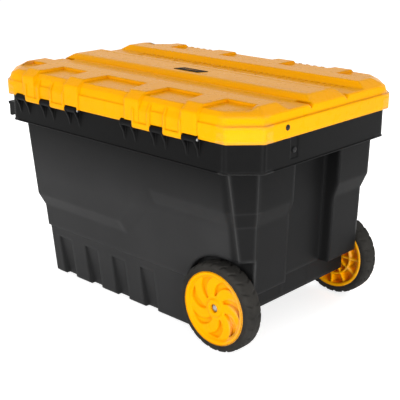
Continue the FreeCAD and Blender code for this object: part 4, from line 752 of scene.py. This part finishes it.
def ridge_shoulders():
    """Steep rounded shoulders along both sides of the lid's middle ridge.

    A section in Y and Z, whose upper corner is a quadratic curve, is carried along the lid.  Each of its
    points ends where the dome's sloping end is at that height, so that both ends lie in the slope.
    """
    top = node_box("lid")[1][2]
    share = np.linspace(0.0, 1.0, SHOULDER_CURVE_POINTS)[:, None]
    before = SHOULDER_CORNER + (SHOULDER_FOOT - SHOULDER_CORNER) * SHOULDER_CURVE_SHARE
    after = SHOULDER_CORNER + (SHOULDER_CROWN - SHOULDER_CORNER) * SHOULDER_CURVE_SHARE
    curve = (1 - share) ** 2 * before + 2 * share * (1 - share) * SHOULDER_CORNER + share ** 2 * after
    section = np.concatenate([[SHOULDER_FOOT], curve, [SHOULDER_CROWN], [SHOULDER_CROWN - SHOULDER_SKIRT]])
    y, z = section[:, 0], section[:, 1]
    slope = (DOME_WAIST_END - DOME_TOP_END) / DOME_WAIST_BELOW_TOP
    reach = DOME_TOP_END - slope * z - DOME_END_MARGIN
    along = np.concatenate([[-1.0], np.linspace(-1.0, 1.0, SHOULDER_ROWS), [1.0]]).reshape(-1, 1)
    points = points_at(along * reach, y, top + z)
    points[0] = (-reach.mean(), y.mean(), top + z.mean())
    points[-1] = (reach.mean(), y.mean(), top + z.mean())
    both = np.stack([points, points * (1, -1, 1)])
    faces = grid_faces(len(along), len(y), copies=2)
    add_piece("lid_ridge_shoulders", both, faces, "lid_yellow", "lid")


def octagon_path(end, half, leg, radius, steps):
    """Closed path round a rectangle with cut corners, and the outward normals along it.

    Each of the eight bends is an arc of the given radius through 45 degrees, set back along both straights.
    """
    corners = np.array([
        (end - leg, -half), (end, leg - half), (end, half - leg), (end - leg, half),
        (leg - end, half), (-end, half - leg), (-end, leg - half), (leg - end, -half)])
    arriving = corners - np.roll(corners, 1, axis=0)
    arriving /= np.linalg.norm(arriving, axis=1, keepdims=True)
    outward = np.stack([arriving[:, 1], -arriving[:, 0]], axis=1)
    centres = corners - arriving * radius * np.tan(np.pi / 8) - outward * radius
    start = np.arctan2(outward[:, 1], outward[:, 0])[:, None]
    angles = start + np.linspace(0.0, np.pi / 4, steps)
    normals = np.stack([np.cos(angles), np.sin(angles)], axis=-1)
    points = centres[:, None] + radius * normals
    return points.reshape(-1, 2), normals.reshape(-1, 2)


# Rim collar of the tub
RIM_HALF_LENGTH = 357 * MM
RIM_HALF_WIDTH = 238.5 * MM
RIM_HEIGHT = 74 * MM
RIM_CORNER_LEG = 50 * MM
RIM_CORNER_ROUND = 9 * MM
RIM_CORNER_POINTS = 7
RIM_BEAD_RADIUS = 1.7 * MM


def rim_bead():
    """Half-round bead along the foot of the rim: a circle carried along the rim's outline."""
    path, outward = octagon_path(
        RIM_HALF_LENGTH, RIM_HALF_WIDTH, RIM_CORNER_LEG, RIM_CORNER_ROUND, RIM_CORNER_POINTS)
    foot = node_box("tub")[1][2] - RIM_HEIGHT + RIM_BEAD_RADIUS
    around = once_round(BEAD_COLUMNS)
    level = path[:, None] + RIM_BEAD_RADIUS * np.cos(around)[None, :, None] * outward[:, None]
    points = points_at(level[..., 0], level[..., 1], foot + RIM_BEAD_RADIUS * np.sin(around))
    faces = grid_faces(len(path), BEAD_COLUMNS, rows_closed=True)
    add_piece("rim_foot_bead", points, faces, "tub_black", "box")


# Ceiling of the recess in the tub's right end
CEILING_MIDDLE = (319 * MM, 0.0)
CEILING_HALF_LENGTH = 18 * MM
CEILING_HALF_WIDTH = 76.5 * MM
CEILING_CORNER_LEG = 4 * MM
CEILING_CORNER_ROUND = 3 * MM
CEILING_CORNER_POINTS = 5
CEILING_BOTTOM = 375.7 * MM
CEILING_TOP = 380.5 * MM
CEILING_EDGE_ROUND = 1.5 * MM
CEILING_EDGE_POINTS = 6


def recess_ceiling():
    """Plate over the top of the recess in the tub's right end, on its walls.

    Loops drawn in from a rounded outline by a growing inset are stacked from the middle of the underside,
    round the edge and to the middle of the top, where they close to a point.
    """
    path, outward = octagon_path(CEILING_HALF_LENGTH, CEILING_HALF_WIDTH, CEILING_CORNER_LEG,
                                 CEILING_CORNER_ROUND, CEILING_CORNER_POINTS)
    turn = quarter_turn(CEILING_EDGE_POINTS)
    inset = np.concatenate([[0.0], CEILING_EDGE_ROUND * (1 - np.cos(turn))])
    height = np.concatenate([[CEILING_BOTTOM], CEILING_TOP - CEILING_EDGE_ROUND * (1 - np.sin(turn))])
    level = path[None] - inset[:, None, None] * outward[None]
    pole = np.zeros_like(level[:1])
    level = np.concatenate([pole, level, pole]) + np.array(CEILING_MIDDLE)
    height = np.concatenate([height[:1], height, height[-1:]])
    points = points_at(level[..., 0], level[..., 1], height[:, None])
    faces = grid_faces(len(height), len(path))
    add_piece("end_recess_ceiling", points, faces, "tub_black", "box")


# Line on the badge
BADGE_LINE_INSET = 13 * MM
BADGE_LINE_SIZE = (1.1 * MM, 0.4 * MM)


def badge_line():
    """Thin plain line let into the middle of the bare badge, along its length."""
    low, high = node_box("lid_badge")
    y = (low[1] + high[1]) / 2
    starts = np.array([(low[0] + BADGE_LINE_INSET, y, high[2])])
    ends = np.array([(high[0] - BADGE_LINE_INSET, y, high[2])])
    half_round_bars("badge_line", starts, ends, (0, 0, 1), BADGE_LINE_SIZE,
                    "lid_yellow", "lid")


# Studio: soft lamps as name, place, target, width and power, and strips with a height too
FLOOR_HALF = 6.0
FLOOR_GLOW = 0.7
SURROUND_LIGHT = 0.4
BOX_MIDDLE = (0.0, 0.0, 0.25)
NEAR_CORNER = (0.33, -0.21, 0.4)
LAMPS = (
    ("key", (-0.9, -2.9, 1.0), BOX_MIDDLE, 1.5, 34.0),
    ("end_fill", (2.7, -1.2, 0.6), BOX_MIDDLE, 1.3, 42.0),
    ("back_fill", (0.6, 2.9, 0.9), BOX_MIDDLE, 1.5, 44.0),
    ("left_fill", (-2.9, 0.2, 0.8), BOX_MIDDLE, 1.5, 36.0),
    ("top_fill", (0.0, 0.1, 3.0), BOX_MIDDLE, 1.5, 8.0),
    ("low_front", (1.09, -0.857, 0.13), NEAR_CORNER, 0.4, 2.0, 0.4),
    ("strip_front", (0.36, -1.25, 0.28), NEAR_CORNER, 0.14, 2.0, 0.5),
    ("strip_end", (1.36, -0.18, 0.28), NEAR_CORNER, 0.14, 2.0, 0.5),
)


def studio():
    """White floor, white surround and soft lamps."""
    pale_floor()
    white_surround()
    for lamp in LAMPS:
        soft_lamp(*lamp)


def pale_floor():
    """White floor: lit matt white plus a glow that only the eye and gloss see; shadows darken it."""
    finish = Finish("pale_floor")
    colour = finish.blend(finish.noise(cells=3.0), FLOOR_WHITE_DULL, FLOOR_WHITE)
    matt = finish.node("ShaderNodeBsdfDiffuse", {}, {"Color": colour}, 0)
    glow = finish.node("ShaderNodeEmission", {}, {"Strength": finish.seen_share() * FLOOR_GLOW}, 0)
    mesh = bpy.data.meshes.new("floor")
    corners = [(-FLOOR_HALF, -FLOOR_HALF, 0), (FLOOR_HALF, -FLOOR_HALF, 0),
               (FLOOR_HALF, FLOOR_HALF, 0), (-FLOOR_HALF, FLOOR_HALF, 0)]
    mesh.from_pydata(corners, [], [(0, 1, 2, 3)])
    mesh.materials.append(finish.shade(finish.node("ShaderNodeAddShader", {}, {0: matt, 1: glow}, 0)))
    floor = bpy.data.objects.new("floor", mesh)
    bpy.context.scene.collection.objects.link(floor)


def white_surround():
    """White where it is seen or mirrored, dimmer as a source of light."""
    finish = Finish("white_surround", bpy.data.worlds)
    strength = SURROUND_LIGHT + finish.seen_share() * (1 - SURROUND_LIGHT)
    sky = finish.node("ShaderNodeBackground", {}, {"Color": SURROUND_WHITE, "Strength": strength}, 0)
    bpy.context.scene.world = finish.shade(sky, "ShaderNodeOutputWorld")


def soft_lamp(name, place, target, width, power, height=None):
    """Area lamp that faces a point: square and without glare, or with a height of its own and a glint."""
    lamp = bpy.data.lights.new(name, "AREA")
    lamp.shape = "RECTANGLE"
    lamp.size = width
    lamp.size_y = height or width
    lamp.energy = power
    holder = bpy.data.objects.new(name, lamp)
    holder.visible_camera = False
    holder.visible_glossy = height is not None
    holder.location = place
    holder.rotation_euler = (Vector(target) - Vector(place)).to_track_quat("-Z", "Y").to_euler()
    bpy.context.scene.collection.objects.link(holder)


def camera():
    """Camera where the photograph was taken from."""
    back = Vector((math.sin(VIEW_AZIMUTH) * math.cos(VIEW_ELEVATION),
                   -math.cos(VIEW_AZIMUTH) * math.cos(VIEW_ELEVATION), math.sin(VIEW_ELEVATION)))
    data = bpy.data.cameras.new("view")
    data.lens = VIEW_LENS
    data.sensor_width = FILM_WIDTH
    holder = bpy.data.objects.new("view", data)
    holder.location = VIEW_PLACE
    holder.rotation_euler = (-back).to_track_quat("-Z", "Y").to_euler()
    bpy.context.scene.collection.objects.link(holder)
    bpy.context.scene.camera = holder


dress_nodes()
screws()
pin_ends()
scale_ribs()
latch_ribs()
grip_ridges()
tyres()
wheel_beads()
ridge_shoulders()
rim_bead()
recess_ceiling()
badge_line()
studio()
camera()
bpy.context.scene.view_settings.view_transform = "Standard"
